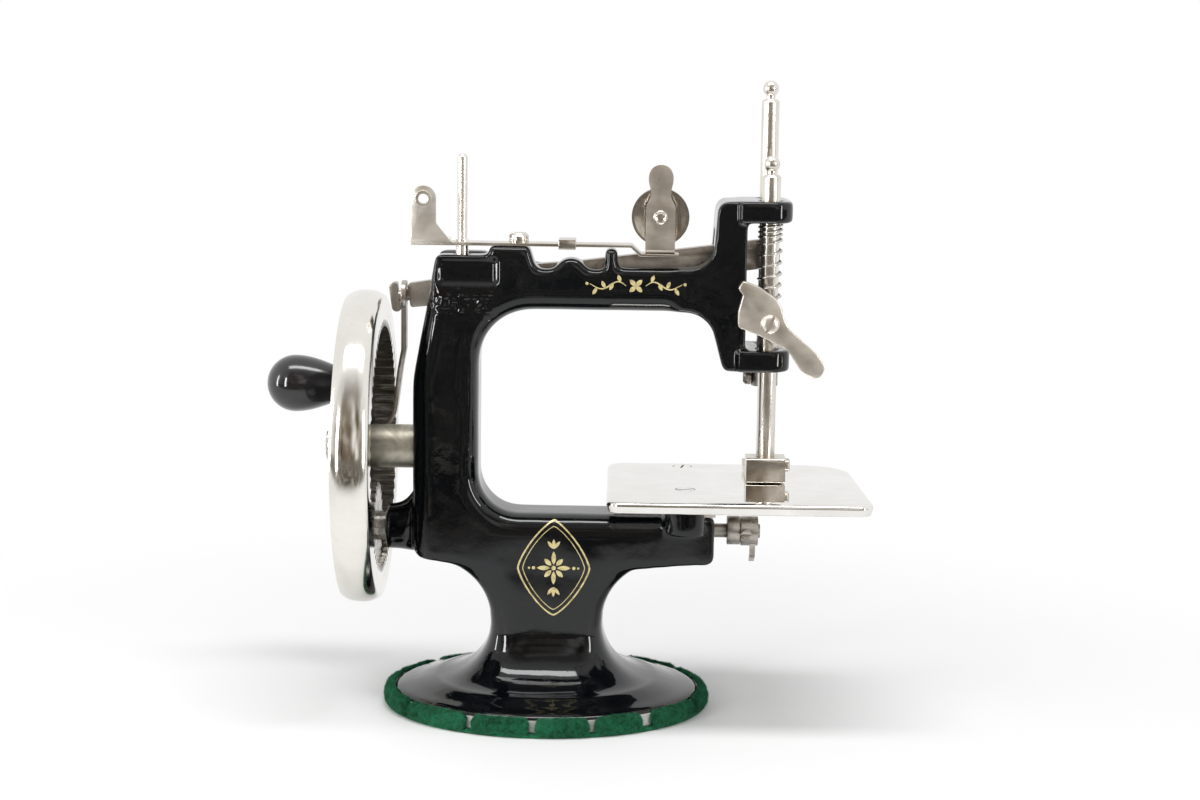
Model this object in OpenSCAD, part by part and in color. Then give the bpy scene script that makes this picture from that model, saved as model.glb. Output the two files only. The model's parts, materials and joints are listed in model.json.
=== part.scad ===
// Hand-cranked toy sewing machine with a cast body, nickel drive and chain-stitch looper.
// Millimetres. +X points to the needle end, +Y away from the lifter side, +Z up.
// The origin is on the table, under the middle of the oval base.

/* [Base] */
// Width of the oval base along the arm
base_w = 83; // [78:1:90]
// Depth of the oval base
base_d = 68; // [62:1:74]
// Height of the base's upright edge
base_edge_h = 3.4; // [2.6:0.2:4.4]
// Half width of the pedestal at its waist
waist_half_w = 15.2; // [14:0.2:17]
// Height of the waist above the table
waist_z = 23; // [20:0.5:26]
// Radius of the sweep from the pedestal out to the base
flare_r = 15; // [12:0.5:15]
// Thickness of the felt under the base
pad_t = 1.2; // [0.8:0.1:2]
// Thickness of the felt folded up around the edge
pad_rim_t = 2; // [1.2:0.1:2.6]
// Height of the felt rim
pad_rim_h = 4.6; // [3:0.1:4.8]
// Number of tabs the felt rim is cut into
pad_tabs = 14; // [8:1:20]
// Width of the slit between two tabs
pad_slit_w = 0.9; // [0.4:0.1:1.6]
// Thickness of the stiff tray between felt and base
core_t = 0.6; // [0.4:0.1:1]

/* [Body] */
// Thickness of the cast C-frame
frame_t = 21; // [19:0.5:24]
// Left face of the column
column_left = -36.2; // [-38:0.1:-35]
// Right face of the column, at the throat
column_right = -18.6; // [-20:0.1:-17]
// Top of the column
column_top = 123.2; // [122:0.2:124]
// Underside of the arm
arm_bottom = 108.7; // [107:0.1:110]
// Top of the arm near the head
arm_top = 120.4; // [119:0.1:121]
// Top of the bed
bed_top = 53.6; // [53:0.1:54]
// Right end of the bed
bed_right = 44.9; // [44:0.1:46]
// Underside of the bed at its right end
bed_bottom = 41; // [40:0.1:42]
// Left face of the boss around the lower shaft
boss_left = -43.6; // [-43.8:0.1:-42]
// Diameter of that boss
boss_d = 12.4; // [11:0.1:13]
// Left side of the head
head_left = 44.2; // [43.6:0.1:45]
// Right side of the head
head_right = 52; // [51.5:0.1:53]
// Top of the head
head_top = 138.2; // [137:0.1:139]
// Height of each lug that guides the bars
lug_h = 5.8; // [5:0.1:6.4]
// Underside of the lower lug
lower_lug_z = 93.3; // [93:0.1:94]
// Right end of the lugs
lug_right = 64; // [63:0.1:65]
// Distance from the middle plane to the near end of the lugs
lug_near = 12.1; // [12:0.1:12.6]
// Distance from the middle plane to the far end of the lugs
lug_far = 11.8; // [11:0.1:12.6]
// Height of the post that steadies the thread strip
post_h = 4.9; // [4:0.1:5.1]

/* [Cloth plate] */
// Top of the cloth plate
plate_top = 63.3; // [63:0.1:64]
// Sheet thickness
plate_t = 1.1; // [0.9:0.1:1.3]
// Depth of the turned-down edge
plate_lip_h = 3; // [2.4:0.1:3.2]
// Step between the flat top and the turned-down edge
plate_step = 0.9; // [0.5:0.1:1.3]
// Left edge of the plate
plate_left = 16; // [15:0.5:18]
// Right edge of the plate
plate_right = 84.6; // [82:0.2:86]
// Near edge of the plate, towards the lifter side
plate_near = 38.5; // [36:0.5:40]
// Far edge of the plate
plate_far = 20.5; // [19.5:0.5:23]
// Place of the two plate screws along the arm
plate_screw_x = 36.6; // [36:0.1:37.5]
// Diameter of the plate screws' heads
plate_screw_head_d = 6; // [5:0.1:6.6]

/* [Gears] */
// Teeth inside the handwheel
ring_teeth = 66; // [66:1:66]
// Teeth on the pinion
pinion_teeth = 22; // [22:1:22]
// Play between teeth at the pitch circle
gear_backlash = 0.36; // [0.3:0.01:0.4]
// Height of the lower shaft's axis
shaft_z = 48.4; // [48:0.1:48.8]
// Diameter of the lower shaft
shaft_d = 3.8; // [3.6:0.1:4]
// Distance of the crank pin from the shaft's axis
crank_r = 4.3; // [4:0.1:4.6]

/* [Handwheel] */
// Outer diameter of the handwheel
wheel_d = 84.6; // [82:0.2:86]
// Metal between the tread and the roots of the teeth inside
rim_wall = 8.1; // [7.6:0.1:8.4]
// Left edge of the rim
rim_left = -54.6; // [-55:0.1:-54]
// Right edge of the rim
rim_right = -44.6; // [-44.8:0.1:-44.4]
// Thickness of the web
web_t = 2.4; // [2:0.1:3]
// Inner face of the web
web_face = -53; // [-53.2:0.1:-52.9]
// Diameter of the plain shoulder of the wheel's stud
stud_d = 11.7; // [11:0.1:12]
// Diameter of the stud's journal
journal_d = 6; // [5.6:0.1:6.4]
// Distance of the handle from the wheel's axis
handle_r = 27.4; // [26:0.1:28]
// Angle of the handle above the level, on the far side
handle_angle = 29; // [20:1:40]
// Largest diameter of the knob
knob_d = 15.9; // [14:0.1:17]
// Length of the knob
knob_l = 20.6; // [18:0.2:22]

/* [Needle drive] */
// Place of the bars along the arm
bar_x = 58.2; // [58:0.1:58.4]
// Distance from the middle plane to each bar's axis
bar_y = 6; // [5.9:0.1:6.2]
// Diameter of the needle bar
needle_bar_d = 4.7; // [4.5:0.1:4.8]
// Diameter of the presser bar
presser_bar_d = 4.9; // [4.6:0.1:5]
// Place of the lever's pivot along the arm
pivot_x = -9.4; // [-9.8:0.1:-9]
// Height of the lever's pivot
pivot_z = 115.1; // [114.8:0.1:115.3]
// Distance from the pivot to the neck that carries the link
neck_arm = 30; // [29.6:0.1:30.4]
// Rise of the lever's right end with the needle at its top
lever_rise = 7.5; // [7.2:0.1:7.7]
// Thickness of the lever
lever_t = 4; // [3.6:0.1:4.2]
// Depth of the lever at its right end
lever_h = 7.6; // [7:0.1:7.8]
// Diameter of the pivot screw's plain part
pivot_d = 3.5; // [3:0.1:4]
// Diameter of the stud on the needle bar
stud_pin_d = 2.6; // [2.4:0.1:2.8]
// Top of the needle bar's ball with the needle at its top
needle_bar_top = 169.6; // [168:0.2:171]
// Bottom of the needle bar
needle_bar_bottom = 87.6; // [87.4:0.1:88.4]
// Tip of the needle at the top of its stroke
needle_tip = 72; // [71:0.5:74]

/* [Presser] */
// Top of the presser bar's ball
presser_bar_top = 150.2; // [149:0.2:152]
// Height of the lifter's pivot
lifter_z = 106.4; // [106.3:0.1:106.6]
// Thickness of the lifter
lifter_t = 2.1; // [1.8:0.1:2.1]
// Outer diameter of the presser spring
spring_d = 7.6; // [7.2:0.1:7.6]
// Diameter of the spring wire
spring_wire = 0.8; // [0.7:0.05:0.85]
// Close turns at the top of the spring
spring_close_turns = 3; // [2:1:3]
// Open turns of the spring
spring_open_turns = 6; // [5:1:6]
// Height of the presser foot's block
foot_h = 6.6; // [6:0.1:7]
// Width of the presser foot's block
foot_w = 10.4; // [9.6:0.1:11]

/* [Thread parts] */
// Thickness of the thread strip
strip_t = 0.8; // [0.6:0.1:1]
// Width of the thread strip
strip_w = 7; // [6:0.2:7.4]
// Distance from the middle plane to the strip's centre line
strip_y = 5.6; // [5.5:0.1:5.8]
// Diameter of the spool pin
spool_pin_d = 2.66; // [2.4:0.02:3]
// Top of the spool pin
spool_pin_top = 149.6; // [146:0.2:154]
// Place of the spool pin along the arm
spool_pin_x = -23.2; // [-24:0.1:-22.5]
// Place of the tension unit along the arm
tension_x = 29.1; // [28.8:0.1:29.5]
// Height of the tension unit's pin
tension_z = 133.8; // [133.6:0.1:134.4]
// Diameter of the tension discs
disc_d = 15.2; // [14:0.1:15.4]

/* [Fits] */
// Radial clearance of a turning or sliding fit
run_fit = 0.04; // [0.03:0.01:0.06]
// Radial clearance of a fixed fit
seat_fit = 0.01; // [0.01:0.01:0.02]
// Room between moving faces that never touch
clear = 0.4; // [0.35:0.05:0.45]

/* [Hidden] */

ROUND = 64;
ARC_STEPS = 8;
OVAL_STEPS = 72;
JAPAN = [0.05, 0.05, 0.06];
NICKEL = [0.82, 0.82, 0.8];
STEEL = [0.55, 0.56, 0.57];
FELT = [0.14, 0.4, 0.2];
CARD = [0.75, 0.75, 0.72];

base_z = pad_t + core_t;
base_top = base_z + base_edge_h;
upper_lug_z = head_top + 0.2 - lug_h;
lower_lug_top = lower_lug_z + lug_h;
upper_lug_top = upper_lug_z + lug_h;
gear_module = (wheel_d / 2 - rim_wall) / (ring_teeth / 2 + 1.2);
wheel_z = shaft_z + gear_module * (ring_teeth - pinion_teeth) / 2;
plate_under = plate_top - plate_t;
lip_bottom = plate_top - plate_lip_h;

// Lever channel, from the near face to the far face
lever_near = -0.8;
channel_near = lever_near - 2 * clear;
channel_far = lever_near + lever_t + 2 * clear;
lever_reach = (bar_x - pivot_x) / cos(lever_rise);
stud_pin_z = pivot_z + (bar_x - pivot_x) * tan(lever_rise);
neck_x = pivot_x - neck_arm * cos(lever_rise);
neck_z = pivot_z - neck_arm * sin(lever_rise);

// Wheel and pinion, along the shaft
pinion_right = -46.2;
pinion_left = -50;
ring_tip_r = gear_module * (ring_teeth / 2 - 0.75);
ring_root_r = gear_module * (ring_teeth / 2 + 1.2);
ring_depth = 6.2;
link_t = 1.3;
link_low_x = -51.7;

// Bars and presser
needle_ball_r = 2.15;
foot_bottom = plate_top + 0.3;
foot_top = foot_bottom + foot_h;
lifter_near = -frame_t / 2 - 0.35 - lifter_t;
spring_bottom = lifter_z + 3.8;
spring_top = upper_lug_z - 0.1;

// Outlines

function unit(v) = v / norm(v);

// Arc that rounds the corner b between a and c
function corner_arc(a, b, c, r) =
    let (
        to_a = unit(a - b),
        to_c = unit(c - b),
        half = acos(to_a * to_c) / 2,
        centre = b + unit(to_a + to_c) * r / sin(half),
        start = b + to_a * r / tan(half) - centre,
        stop = b + to_c * r / tan(half) - centre,
        from = atan2(start.y, start.x),
        sweep = (atan2(stop.y, stop.x) - from + 540) % 360 - 180
    )
    [for (i = [0 : ARC_STEPS]) centre + r * [cos(from + sweep * i / ARC_STEPS), sin(from + sweep * i / ARC_STEPS)]];

// Outline from corners given as [x, y, radius]
function rounded(corners) =
    let (n = len(corners), flat = [for (p = corners) [p.x, p.y]])
    [for (i = [0 : n - 1])
        each corners[i][2] > 0
            ? corner_arc(flat[(i + n - 1) % n], flat[i], flat[(i + 1) % n], corners[i][2])
            : [flat[i]]];

// Outline of a strip of even width, measured across, along a path that runs down
function band(path, width) = concat(
    [for (p = path) [p.x - width / 2, p.y]],
    [for (i = [len(path) - 1 : -1 : 0]) [path[i].x + width / 2, path[i].y]]);

// Closed outline of an involute gear, with one tooth pointing down
function involute_angle(base_r, r) =
    let (t = sqrt(max(0, r * r / (base_r * base_r) - 1))) t * 180 / PI - atan(t);
function gear_outline(teeth, tip_r, root_r, extra) =
    let (
        pitch_r = gear_module * teeth / 2,
        base_r = pitch_r * cos(20),
        half = 90 / teeth + extra / pitch_r * 90 / PI + involute_angle(base_r, pitch_r),
        radii = [root_r, max(root_r, base_r) + 0.15, pitch_r, (pitch_r + tip_r) / 2, tip_r],
        flank = [for (r = radii) [r, half - involute_angle(base_r, r)]]
    )
    [for (i = [0 : teeth - 1], k = [0 : 2 * len(flank) - 1])
        let (
            left = k < len(flank),
            p = left ? flank[k] : flank[2 * len(flank) - 1 - k],
            a = 360 * i / teeth - 90 + (left ? -p[1] : p[1])
        )
        p[0] * [cos(a), sin(a)]];

function oval(half_w, half_d) =
    [for (i = [0 : OVAL_STEPS - 1]) [half_w * cos(360 * i / OVAL_STEPS), half_d * sin(360 * i / OVAL_STEPS)]];

// Ring of a loft: an oval that turns squarer as power rises
function loft_ring(half_w, half_d, power, z) =
    [for (i = [0 : OVAL_STEPS - 1])
        let (c = cos(360 * i / OVAL_STEPS), s = sin(360 * i / OVAL_STEPS))
        [half_w * sign(c) * pow(abs(c), 2 / power), half_d * sign(s) * pow(abs(s), 2 / power), z]];

// Shapes

module loft(rings) {
    n = len(rings[0]);
    last = len(rings) - 1;
    sides = [for (k = [0 : last - 1], i = [0 : n - 1])
        let (j = (i + 1) % n)
        each [[k * n + i, (k + 1) * n + i, (k + 1) * n + j], [k * n + i, (k + 1) * n + j, k * n + j]]];
    bottom = [[for (i = [0 : n - 1]) i]];
    top = [[for (i = [n - 1 : -1 : 0]) last * n + i]];
    polyhedron([for (ring = rings) each ring], concat(bottom, sides, top), convexity = 6);
}

// Outline in X and Z, thick along Y
module slab_xz(points, y0, y1)
    translate([0, y1, 0]) rotate([90, 0, 0]) linear_extrude(y1 - y0) polygon(points);

// Outline in Y and Z, thick along X
module slab_yz(points, x0, x1)
    translate([x0, 0, 0]) rotate([90, 0, 90]) linear_extrude(x1 - x0) polygon(points);

// Outline in X and Y, thick along Z
module slab_xy(points, z0, z1)
    translate([0, 0, z0]) linear_extrude(z1 - z0) polygon(points);

module rod_x(x0, x1, d, y, z)
    translate([x0, y, z]) rotate([0, 90, 0]) cylinder(h = x1 - x0, d = d, $fn = ROUND);

module rod_y(y0, y1, d, x, z)
    translate([x, y1, z]) rotate([90, 0, 0]) cylinder(h = y1 - y0, d = d, $fn = ROUND);

module rod_z(z0, z1, d, x, y)
    translate([x, y, z0]) cylinder(h = z1 - z0, d = d, $fn = ROUND);

module box(x, y, z)
    translate([x[0], y[0], z[0]]) cube([x[1] - x[0], y[1] - y[0], z[1] - z[0]]);

// Solid turned about a line along X: points are [radius, x]
module turned_x(points, y, z)
    translate([0, y, z]) rotate([0, 90, 0]) rotate_extrude($fn = ROUND) polygon(points);

// Solid turned about an upright line: points are [radius, z]
module turned_z(points, x, y)
    translate([x, y, 0]) rotate_extrude($fn = ROUND) polygon(points);

// Slotted screw standing on z = 0 with its shank below
module slotted_screw(head_d, head_h, shank_d, shank_l) {
    slot_w = head_d * 0.18;
    edge = head_h * 0.3;
    difference() {
        union() {
            rotate_extrude($fn = ROUND)
                polygon([[0, 0], [head_d / 2, 0], [head_d / 2, head_h - edge], [head_d / 2 - edge, head_h], [0, head_h]]);
            rod_z(-shank_l, 0.01, shank_d, 0, 0);
        }
        box([-head_d, head_d], [-slot_w / 2, slot_w / 2], [head_h * 0.5, head_h + 1]);
    }
}

// Base and body

base_flare = [for (i = [0 : 10])
    let (
        turn = 9 * i,
        out = flare_r * (1 - sin(turn)),
        z = waist_z - flare_r * cos(turn),
        power = 2.2 + 1.8 * i / 10
    )
    loft_ring(waist_half_w + out, frame_t / 2 + 0.3 + out, power, z)];
// Above the waist the pedestal sweeps out again into the bed
bed_flare_r = 17;
bed_flare = [for (i = [1 : 8])
    let (turn = 10 * i)
    loft_ring(waist_half_w + bed_flare_r * (1 - cos(turn)), frame_t / 2 + 0.3 - 0.06 * i, 4 + 0.5 * i,
        waist_z + 1 + bed_flare_r * sin(turn))];

module base_solid()
    loft(concat(
        [loft_ring(base_w / 2 - 0.5, base_d / 2 - 0.5, 2, base_z),
         loft_ring(base_w / 2, base_d / 2, 2, base_z + 0.6),
         loft_ring(base_w / 2, base_d / 2, 2, base_top - 0.9),
         loft_ring(base_w / 2 - 0.9, base_d / 2 - 0.9, 2, base_top),
         loft_ring((base_w / 2 + waist_half_w + flare_r) / 2, (base_d + frame_t) / 4 + flare_r / 2, 2.1, base_top + 1)],
        base_flare,
        bed_flare,
        [loft_ring(waist_half_w + bed_flare_r, frame_t / 2 - 0.4, 8, waist_z + bed_flare_r + 4)]));

// Side view of the C-frame: column, arm, head and bed
frame_outline = rounded([
    [-waist_half_w, bed_bottom - 2.4, 0],
    [column_left, bed_bottom + 0.6, 3],
    [column_left, 90, 30],
    [column_left + 6.2, column_top, 1.5],
    [-16, column_top, 0.6],
    [-16, column_top + 2.5, 1],
    [-5.2, column_top + 2.5, 1.4],
    [-3.5, arm_top - 0.6, 2.2],
    [1, arm_top - 0.6, 1.8],
    [5.7, arm_top + 4.6, 4.6],
    [10.4, arm_top - 0.6, 1.8],
    [14.6, arm_top - 0.6, 0.6],
    [14.6, arm_top + post_h, 0.8],
    [18, arm_top + post_h, 0.8],
    [18, arm_top, 1],
    [head_left - 1.2, arm_top, 6],
    [head_left, head_top, 3],
    [head_right, head_top, 1],
    [head_right, lower_lug_z, 1],
    [head_left + 2.1, lower_lug_z, 2],
    [head_left - 2, arm_bottom, 8],
    [column_right, arm_bottom, 14],
    [column_right, bed_top, 11],
    [bed_right, bed_top, 1],
    [bed_right, bed_bottom, 2.4],
    [waist_half_w, bed_bottom - 2.6, 0]]);

lug_outline = rounded([
    [head_right - 2, -lug_near, 0],
    [lug_right, -lug_near, 5.4],
    [lug_right, lug_far, 5.4],
    [head_right - 2, lug_far, 0]]);

// Cross bar that carries the cloth plate
rest_x = [plate_screw_x - 5.2, plate_screw_x + 5.2];
rest_near = -24;
rest_far = 18.5;
plate_screw_y = [-19.5, 14.2];
rest_outline = rounded([
    [rest_x[0], rest_near, 4],
    [rest_x[1], rest_near, 4],
    [rest_x[1], rest_far, 4],
    [rest_x[0], rest_far, 4]]);

// Room for the lever: a channel open above the arm, and a window in the head
channel_outline = [
    [column_left - 10, 104.5],
    [head_left - 4, 104.5],
    [head_left - 4, lower_lug_top + 0.9],
    [head_right + 1, lower_lug_top + 0.9],
    [head_right + 1, upper_lug_z - 3],
    [head_left - 4, upper_lug_z - 3],
    [head_left - 4, head_top + 4],
    [column_left - 10, head_top + 4]];

plate_screw_d = 3;
stud_tail_l = 9;

module body_casting() color(JAPAN) difference() {
    union() {
        base_solid();
        slab_xz(frame_outline, -frame_t / 2, frame_t / 2);
        rod_x(boss_left, column_left + 6, boss_d, 0, shaft_z);
        slab_xy(lug_outline, lower_lug_z, lower_lug_top);
        slab_xy(lug_outline, upper_lug_z, upper_lug_top);
        slab_xy(rest_outline, bed_top - 2.6, plate_under);
    }
    slab_xz(channel_outline, channel_near, channel_far);
    box([-17, head_left - 4], [channel_far - 1, frame_t], [arm_top, head_top]);
    rod_x(boss_left - 1, bed_right + 1, shaft_d + 2 * run_fit, 0, shaft_z);
    rod_x(column_left - 1, column_left + stud_tail_l + clear, journal_d + 2 * seat_fit, 0, wheel_z);
    rod_y(-pivot_screw_depth - clear, frame_t, pivot_d + 2 * seat_fit, pivot_x, pivot_z);
    rod_z(lower_lug_z - 1, head_top + 4, presser_bar_d + 2 * run_fit, bar_x, -bar_y);
    rod_z(lower_lug_z - 1, head_top + 4, needle_bar_d + 2 * run_fit, bar_x, bar_y);
    for (y = plate_screw_y)
        rod_z(bed_top - 1.6, plate_top, plate_screw_d + 2 * seat_fit, plate_screw_x, y);
    rod_z(column_top - spool_pin_seat - clear, column_top + 4, spool_seat_d + 2 * seat_fit, spool_pin_x, -strip_y);
    rod_z(column_top - strip_screw_l, column_top + 4, strip_screw_d + 2 * seat_fit, strip_screw_x, -strip_y);
    for (y = guide_screw_y)
        rod_x(rest_x[1] - guide_screw_l - clear, rest_x[1] + 1, guide_screw_d + 2 * seat_fit, y, guide_screw_z);
}

core_half_w = base_w / 2 + seat_fit + core_t;
core_half_d = base_d / 2 + seat_fit + core_t;

module pad_core() color(CARD) difference() {
    slab_xy(oval(core_half_w, core_half_d), pad_t, pad_rim_h - 0.4);
    slab_xy(oval(core_half_w - core_t, core_half_d - core_t), base_z, base_z + 10);
}

module felt_pad() color(FELT) difference() {
    slab_xy(oval(core_half_w + seat_fit + pad_rim_t, core_half_d + seat_fit + pad_rim_t), 0, pad_rim_h);
    slab_xy(oval(core_half_w + seat_fit, core_half_d + seat_fit), pad_t, pad_rim_h + 1);
    for (i = [0 : pad_tabs - 1])
        rotate(360 * (i + 0.32) / pad_tabs)
            box([base_d / 2 - 4, base_w], [-pad_slit_w / 2, pad_slit_w / 2], [pad_t, pad_rim_h + 1]);
}

// Cloth plate

function plate_outline(inset) = rounded([
    [plate_left + inset, -plate_near + inset, 2.5],
    [plate_right - inset, -plate_near + inset, 4],
    [plate_right - 2.4 - inset, plate_far - inset, 12],
    [plate_left + inset, plate_far - inset, 3]]);

feed_slot_w = 2.6;
feed_slot_x = [bar_x - 3, bar_x + 3];
feed_slot_y = [-1.8, 12.2];

module cloth_plate() color(NICKEL) difference() {
    union() {
        slab_xy(plate_outline(plate_step), plate_under, plate_top);
        difference() {
            slab_xy(plate_outline(0), lip_bottom, plate_top - plate_step);
            slab_xy(plate_outline(plate_t), lip_bottom - 1, plate_under);
        }
    }
    rod_z(plate_under - 1, plate_top + 1, 2.6, bar_x, bar_y);
    for (x = feed_slot_x)
        box([x - feed_slot_w / 2, x + feed_slot_w / 2], feed_slot_y, [plate_under - 1, plate_top + 1]);
    for (y = plate_screw_y)
        rod_z(plate_under - 1, plate_top + 1, plate_screw_d + 2 * seat_fit, plate_screw_x, y);
}

module plate_screws() color(NICKEL)
    for (y = plate_screw_y)
        translate([plate_screw_x, y, plate_top])
            rotate(y > 0 ? 80 : 20) slotted_screw(plate_screw_head_d, 0.9, plate_screw_d, 8);

// Thread parts

strip_z = column_top + 2.5;
strip_end_z = arm_top + 3;
spool_pin_seat = 7;
spool_seat_d = spool_pin_d + 0.7;
spool_shoulder = strip_z + strip_t + 0.6;
strip_screw_x = -8.2;
strip_screw_d = 2.6;
strip_screw_l = 6;
guide_foot_x = [-36.6, -26.4];
guide_ear_x = -33.3;
guide_ear_r = 3.4;
guide_eye_z = 137.9;

module spool_pin() color(NICKEL)
    turned_z([
        [0, column_top - spool_pin_seat],
        [spool_seat_d / 2, column_top - spool_pin_seat],
        [spool_seat_d / 2, spool_shoulder],
        [spool_pin_d / 2, spool_shoulder],
        [spool_pin_d / 2, spool_pin_top - 0.7],
        [spool_pin_d / 2 - 0.7, spool_pin_top],
        [0, spool_pin_top]], spool_pin_x, -strip_y);

// The strip runs level from the guide to the post, then steps down under the tension unit
strip_profile = [
    [guide_foot_x[0], strip_z],
    [21.4, strip_z],
    [23.8, strip_end_z],
    [tension_x + 5, strip_end_z],
    [tension_x + 5, strip_end_z + strip_t],
    [24.2, strip_end_z + strip_t],
    [21.8, strip_z + strip_t],
    [guide_foot_x[0], strip_z + strip_t]];

module thread_strip() color(NICKEL) difference() {
    slab_xz(strip_profile, -strip_y - strip_w / 2, -strip_y + strip_w / 2);
    rod_z(strip_z - 1, strip_z + 2, spool_seat_d + 0.5, spool_pin_x, -strip_y);
    rod_z(strip_z - 1, strip_z + 2, strip_screw_d + 2 * seat_fit, strip_screw_x, -strip_y);
}

module strip_screw() color(NICKEL)
    translate([strip_screw_x, -strip_y, strip_z + strip_t])
        rotate(35) slotted_screw(5.3, 2.6, strip_screw_d, strip_screw_l + strip_t - 0.6);

module strip_clip() color(NICKEL) difference() {
    clip_x = [2.4, 6.9];
    box(clip_x, [-strip_y - strip_w / 2 - 0.7, -strip_y + strip_w / 2 + 0.7], [strip_z - 0.7, strip_z + strip_t + 1.1]);
    box([clip_x[0] - 1, clip_x[1] + 1], [-strip_y - strip_w / 2 - seat_fit, -strip_y + strip_w / 2 + seat_fit], [strip_z, strip_z + strip_t]);
}

// Upright ear with an eye, its foot on the strip, and a slanting gusset
guide_t = 0.9;
guide_floor = strip_z + strip_t;
guide_near = -strip_y - strip_w / 2;
ear_outline = rounded([
    [guide_ear_x - guide_ear_r + 0.4, guide_floor, 0],
    [guide_ear_x - guide_ear_r, guide_eye_z + guide_ear_r, guide_ear_r * 0.98],
    [guide_ear_x + guide_ear_r, guide_eye_z + guide_ear_r, guide_ear_r * 0.98],
    [guide_ear_x + guide_ear_r, guide_floor + 5, 2],
    [guide_foot_x[1] + 0.6, guide_floor, 0]]);

module thread_guide() color(NICKEL) difference() {
    union() {
        slab_xz(ear_outline, guide_near, guide_near + guide_t);
        box(guide_foot_x, [guide_near, -strip_y + strip_w / 2], [guide_floor, guide_floor + guide_t]);
        rod_y(guide_near - 0.35, guide_near + guide_t + 0.35, 4.4, guide_ear_x, guide_eye_z);
    }
    rod_y(guide_near - 2, guide_near + 3, 2.5, guide_ear_x, guide_eye_z);
}

// Bottle-shaped spring leaf in front, short tab behind, joined by a foot on the strip
leaf_t = 0.8;
leaf_near = -strip_y - strip_w / 2 + 0.2;
tab_far = -strip_y + strip_w / 2;
leaf_foot = strip_end_z + strip_t;
disc_t = 0.9;
disc_gap = 0.4;
leaf_outline = rounded([
    [tension_x - 3.9, leaf_foot, 0],
    [tension_x - 3.9, tension_z + 2.4, 1.2],
    [tension_x - 2.2, tension_z + 5.4, 1.6],
    [tension_x - 3.4, tension_z + 9, 2],
    [tension_x - 2.4, tension_z + 13.4, 2],
    [tension_x + 2.4, tension_z + 13.4, 2],
    [tension_x + 3.4, tension_z + 9, 2],
    [tension_x + 2.2, tension_z + 5.4, 1.6],
    [tension_x + 3.9, tension_z + 2.4, 1.2],
    [tension_x + 3.9, leaf_foot, 0]]);
tab_outline = rounded([
    [tension_x - 3.2, leaf_foot, 0],
    [tension_x - 3.2, tension_z + 3.4, 3],
    [tension_x + 3.2, tension_z + 3.4, 3],
    [tension_x + 3.2, leaf_foot, 0]]);
tension_pin_d = 2.2;
disc_near = leaf_near + leaf_t + disc_gap;

module tension_bracket() color(NICKEL) difference() {
    union() {
        slab_xz(leaf_outline, leaf_near, leaf_near + leaf_t);
        slab_xz(tab_outline, tab_far - leaf_t, tab_far);
        box([tension_x - 3.9, tension_x + 3.9], [leaf_near, tab_far], [leaf_foot, leaf_foot + leaf_t]);
    }
    rod_y(leaf_near - 1, tab_far + 1, tension_pin_d + 2 * seat_fit, tension_x, tension_z);
}

module tension_pin() color(NICKEL) union() {
    rod_y(leaf_near - 0.4, tab_far + 0.5, tension_pin_d, tension_x, tension_z);
    translate([tension_x, leaf_near, tension_z]) rotate([90, 0, 0])
        rotate_extrude($fn = ROUND) polygon([[0, 0], [1.85, 0], [1.85, 0.5], [1.2, 1.1], [0, 1.3]]);
}

// Two dished discs, bellies together
module disc_solid(y, face)
    translate([tension_x, y, tension_z]) rotate([face * 90, 0, 0])
        rotate_extrude($fn = ROUND)
            polygon([
                [tension_pin_d / 2 + run_fit, 0],
                [disc_d * 0.32, 0],
                [disc_d / 2, disc_t * 0.7],
                [disc_d / 2, disc_t * 1.2],
                [disc_d * 0.31, disc_t * 0.5],
                [tension_pin_d / 2 + run_fit, disc_t * 0.5]]);

module tension_discs() color(NICKEL) {
    belly = disc_near + disc_t * 1.2;
    disc_solid(belly, 1);
    disc_solid(belly + 0.5, -1);
}

// Handwheel, running on a stud in the column

module wheel_stud() color(STEEL) difference() {
    union() {
        rod_x(column_left, column_left + stud_tail_l, journal_d, 0, wheel_z);
        rod_x(web_face + 0.2, column_left, stud_d, 0, wheel_z);
        rod_x(web_face - hub_l - 0.2, web_face + 0.3, journal_d, 0, wheel_z);
    }
    rod_x(web_face - hub_l - 1, web_face - hub_l + wheel_screw_l, wheel_screw_d + 2 * seat_fit, 0, wheel_z);
}

hub_l = 4.9;
hub_d = 17;
wheel_screw_d = 3;
wheel_screw_l = 7;
washer_t = 1;
washer_left = web_face - hub_l - 0.2 - washer_t;

module wheel_washer() color(NICKEL) difference() {
    rod_x(washer_left, washer_left + washer_t, 12, 0, wheel_z);
    rod_x(washer_left - 1, washer_left + 3, wheel_screw_d + 2 * seat_fit, 0, wheel_z);
}

module wheel_screw() color(NICKEL)
    translate([washer_left, 0, wheel_z]) rotate([0, -90, 0]) rotate(25)
        slotted_screw(8, 2, wheel_screw_d, wheel_screw_l + washer_t - 0.6);

rim_mid = (rim_left + rim_right) / 2;
rim_crown = 1.3;
// Cross section of the wheel: crowned rim, web and hub
wheel_profile = concat(
    [for (i = [-6 : 6])
        let (side = i / 6)
        [wheel_d / 2 - rim_crown * pow(abs(side), 3), rim_mid + side * (rim_right - rim_left) / 2]],
    [[ring_tip_r, rim_right],
     [ring_tip_r, rim_right - ring_depth],
     [ring_root_r + 1.6, rim_right - ring_depth - 1],
     [ring_root_r + 1.6, web_face],
     [0, web_face],
     [0, web_face - hub_l],
     [hub_d / 2 - 1, web_face - hub_l],
     [hub_d / 2, web_face - hub_l + 1],
     [hub_d / 2 + 1.2, web_face - web_t],
     [ring_root_r - 2, web_face - web_t],
     [ring_root_r + 2, rim_left]]);
handle_y = handle_r * cos(handle_angle);
handle_z = wheel_z + handle_r * sin(handle_angle);
handle_stud_d = 3.4;
handle_boss_left = web_face - web_t - 1.6;

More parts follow.
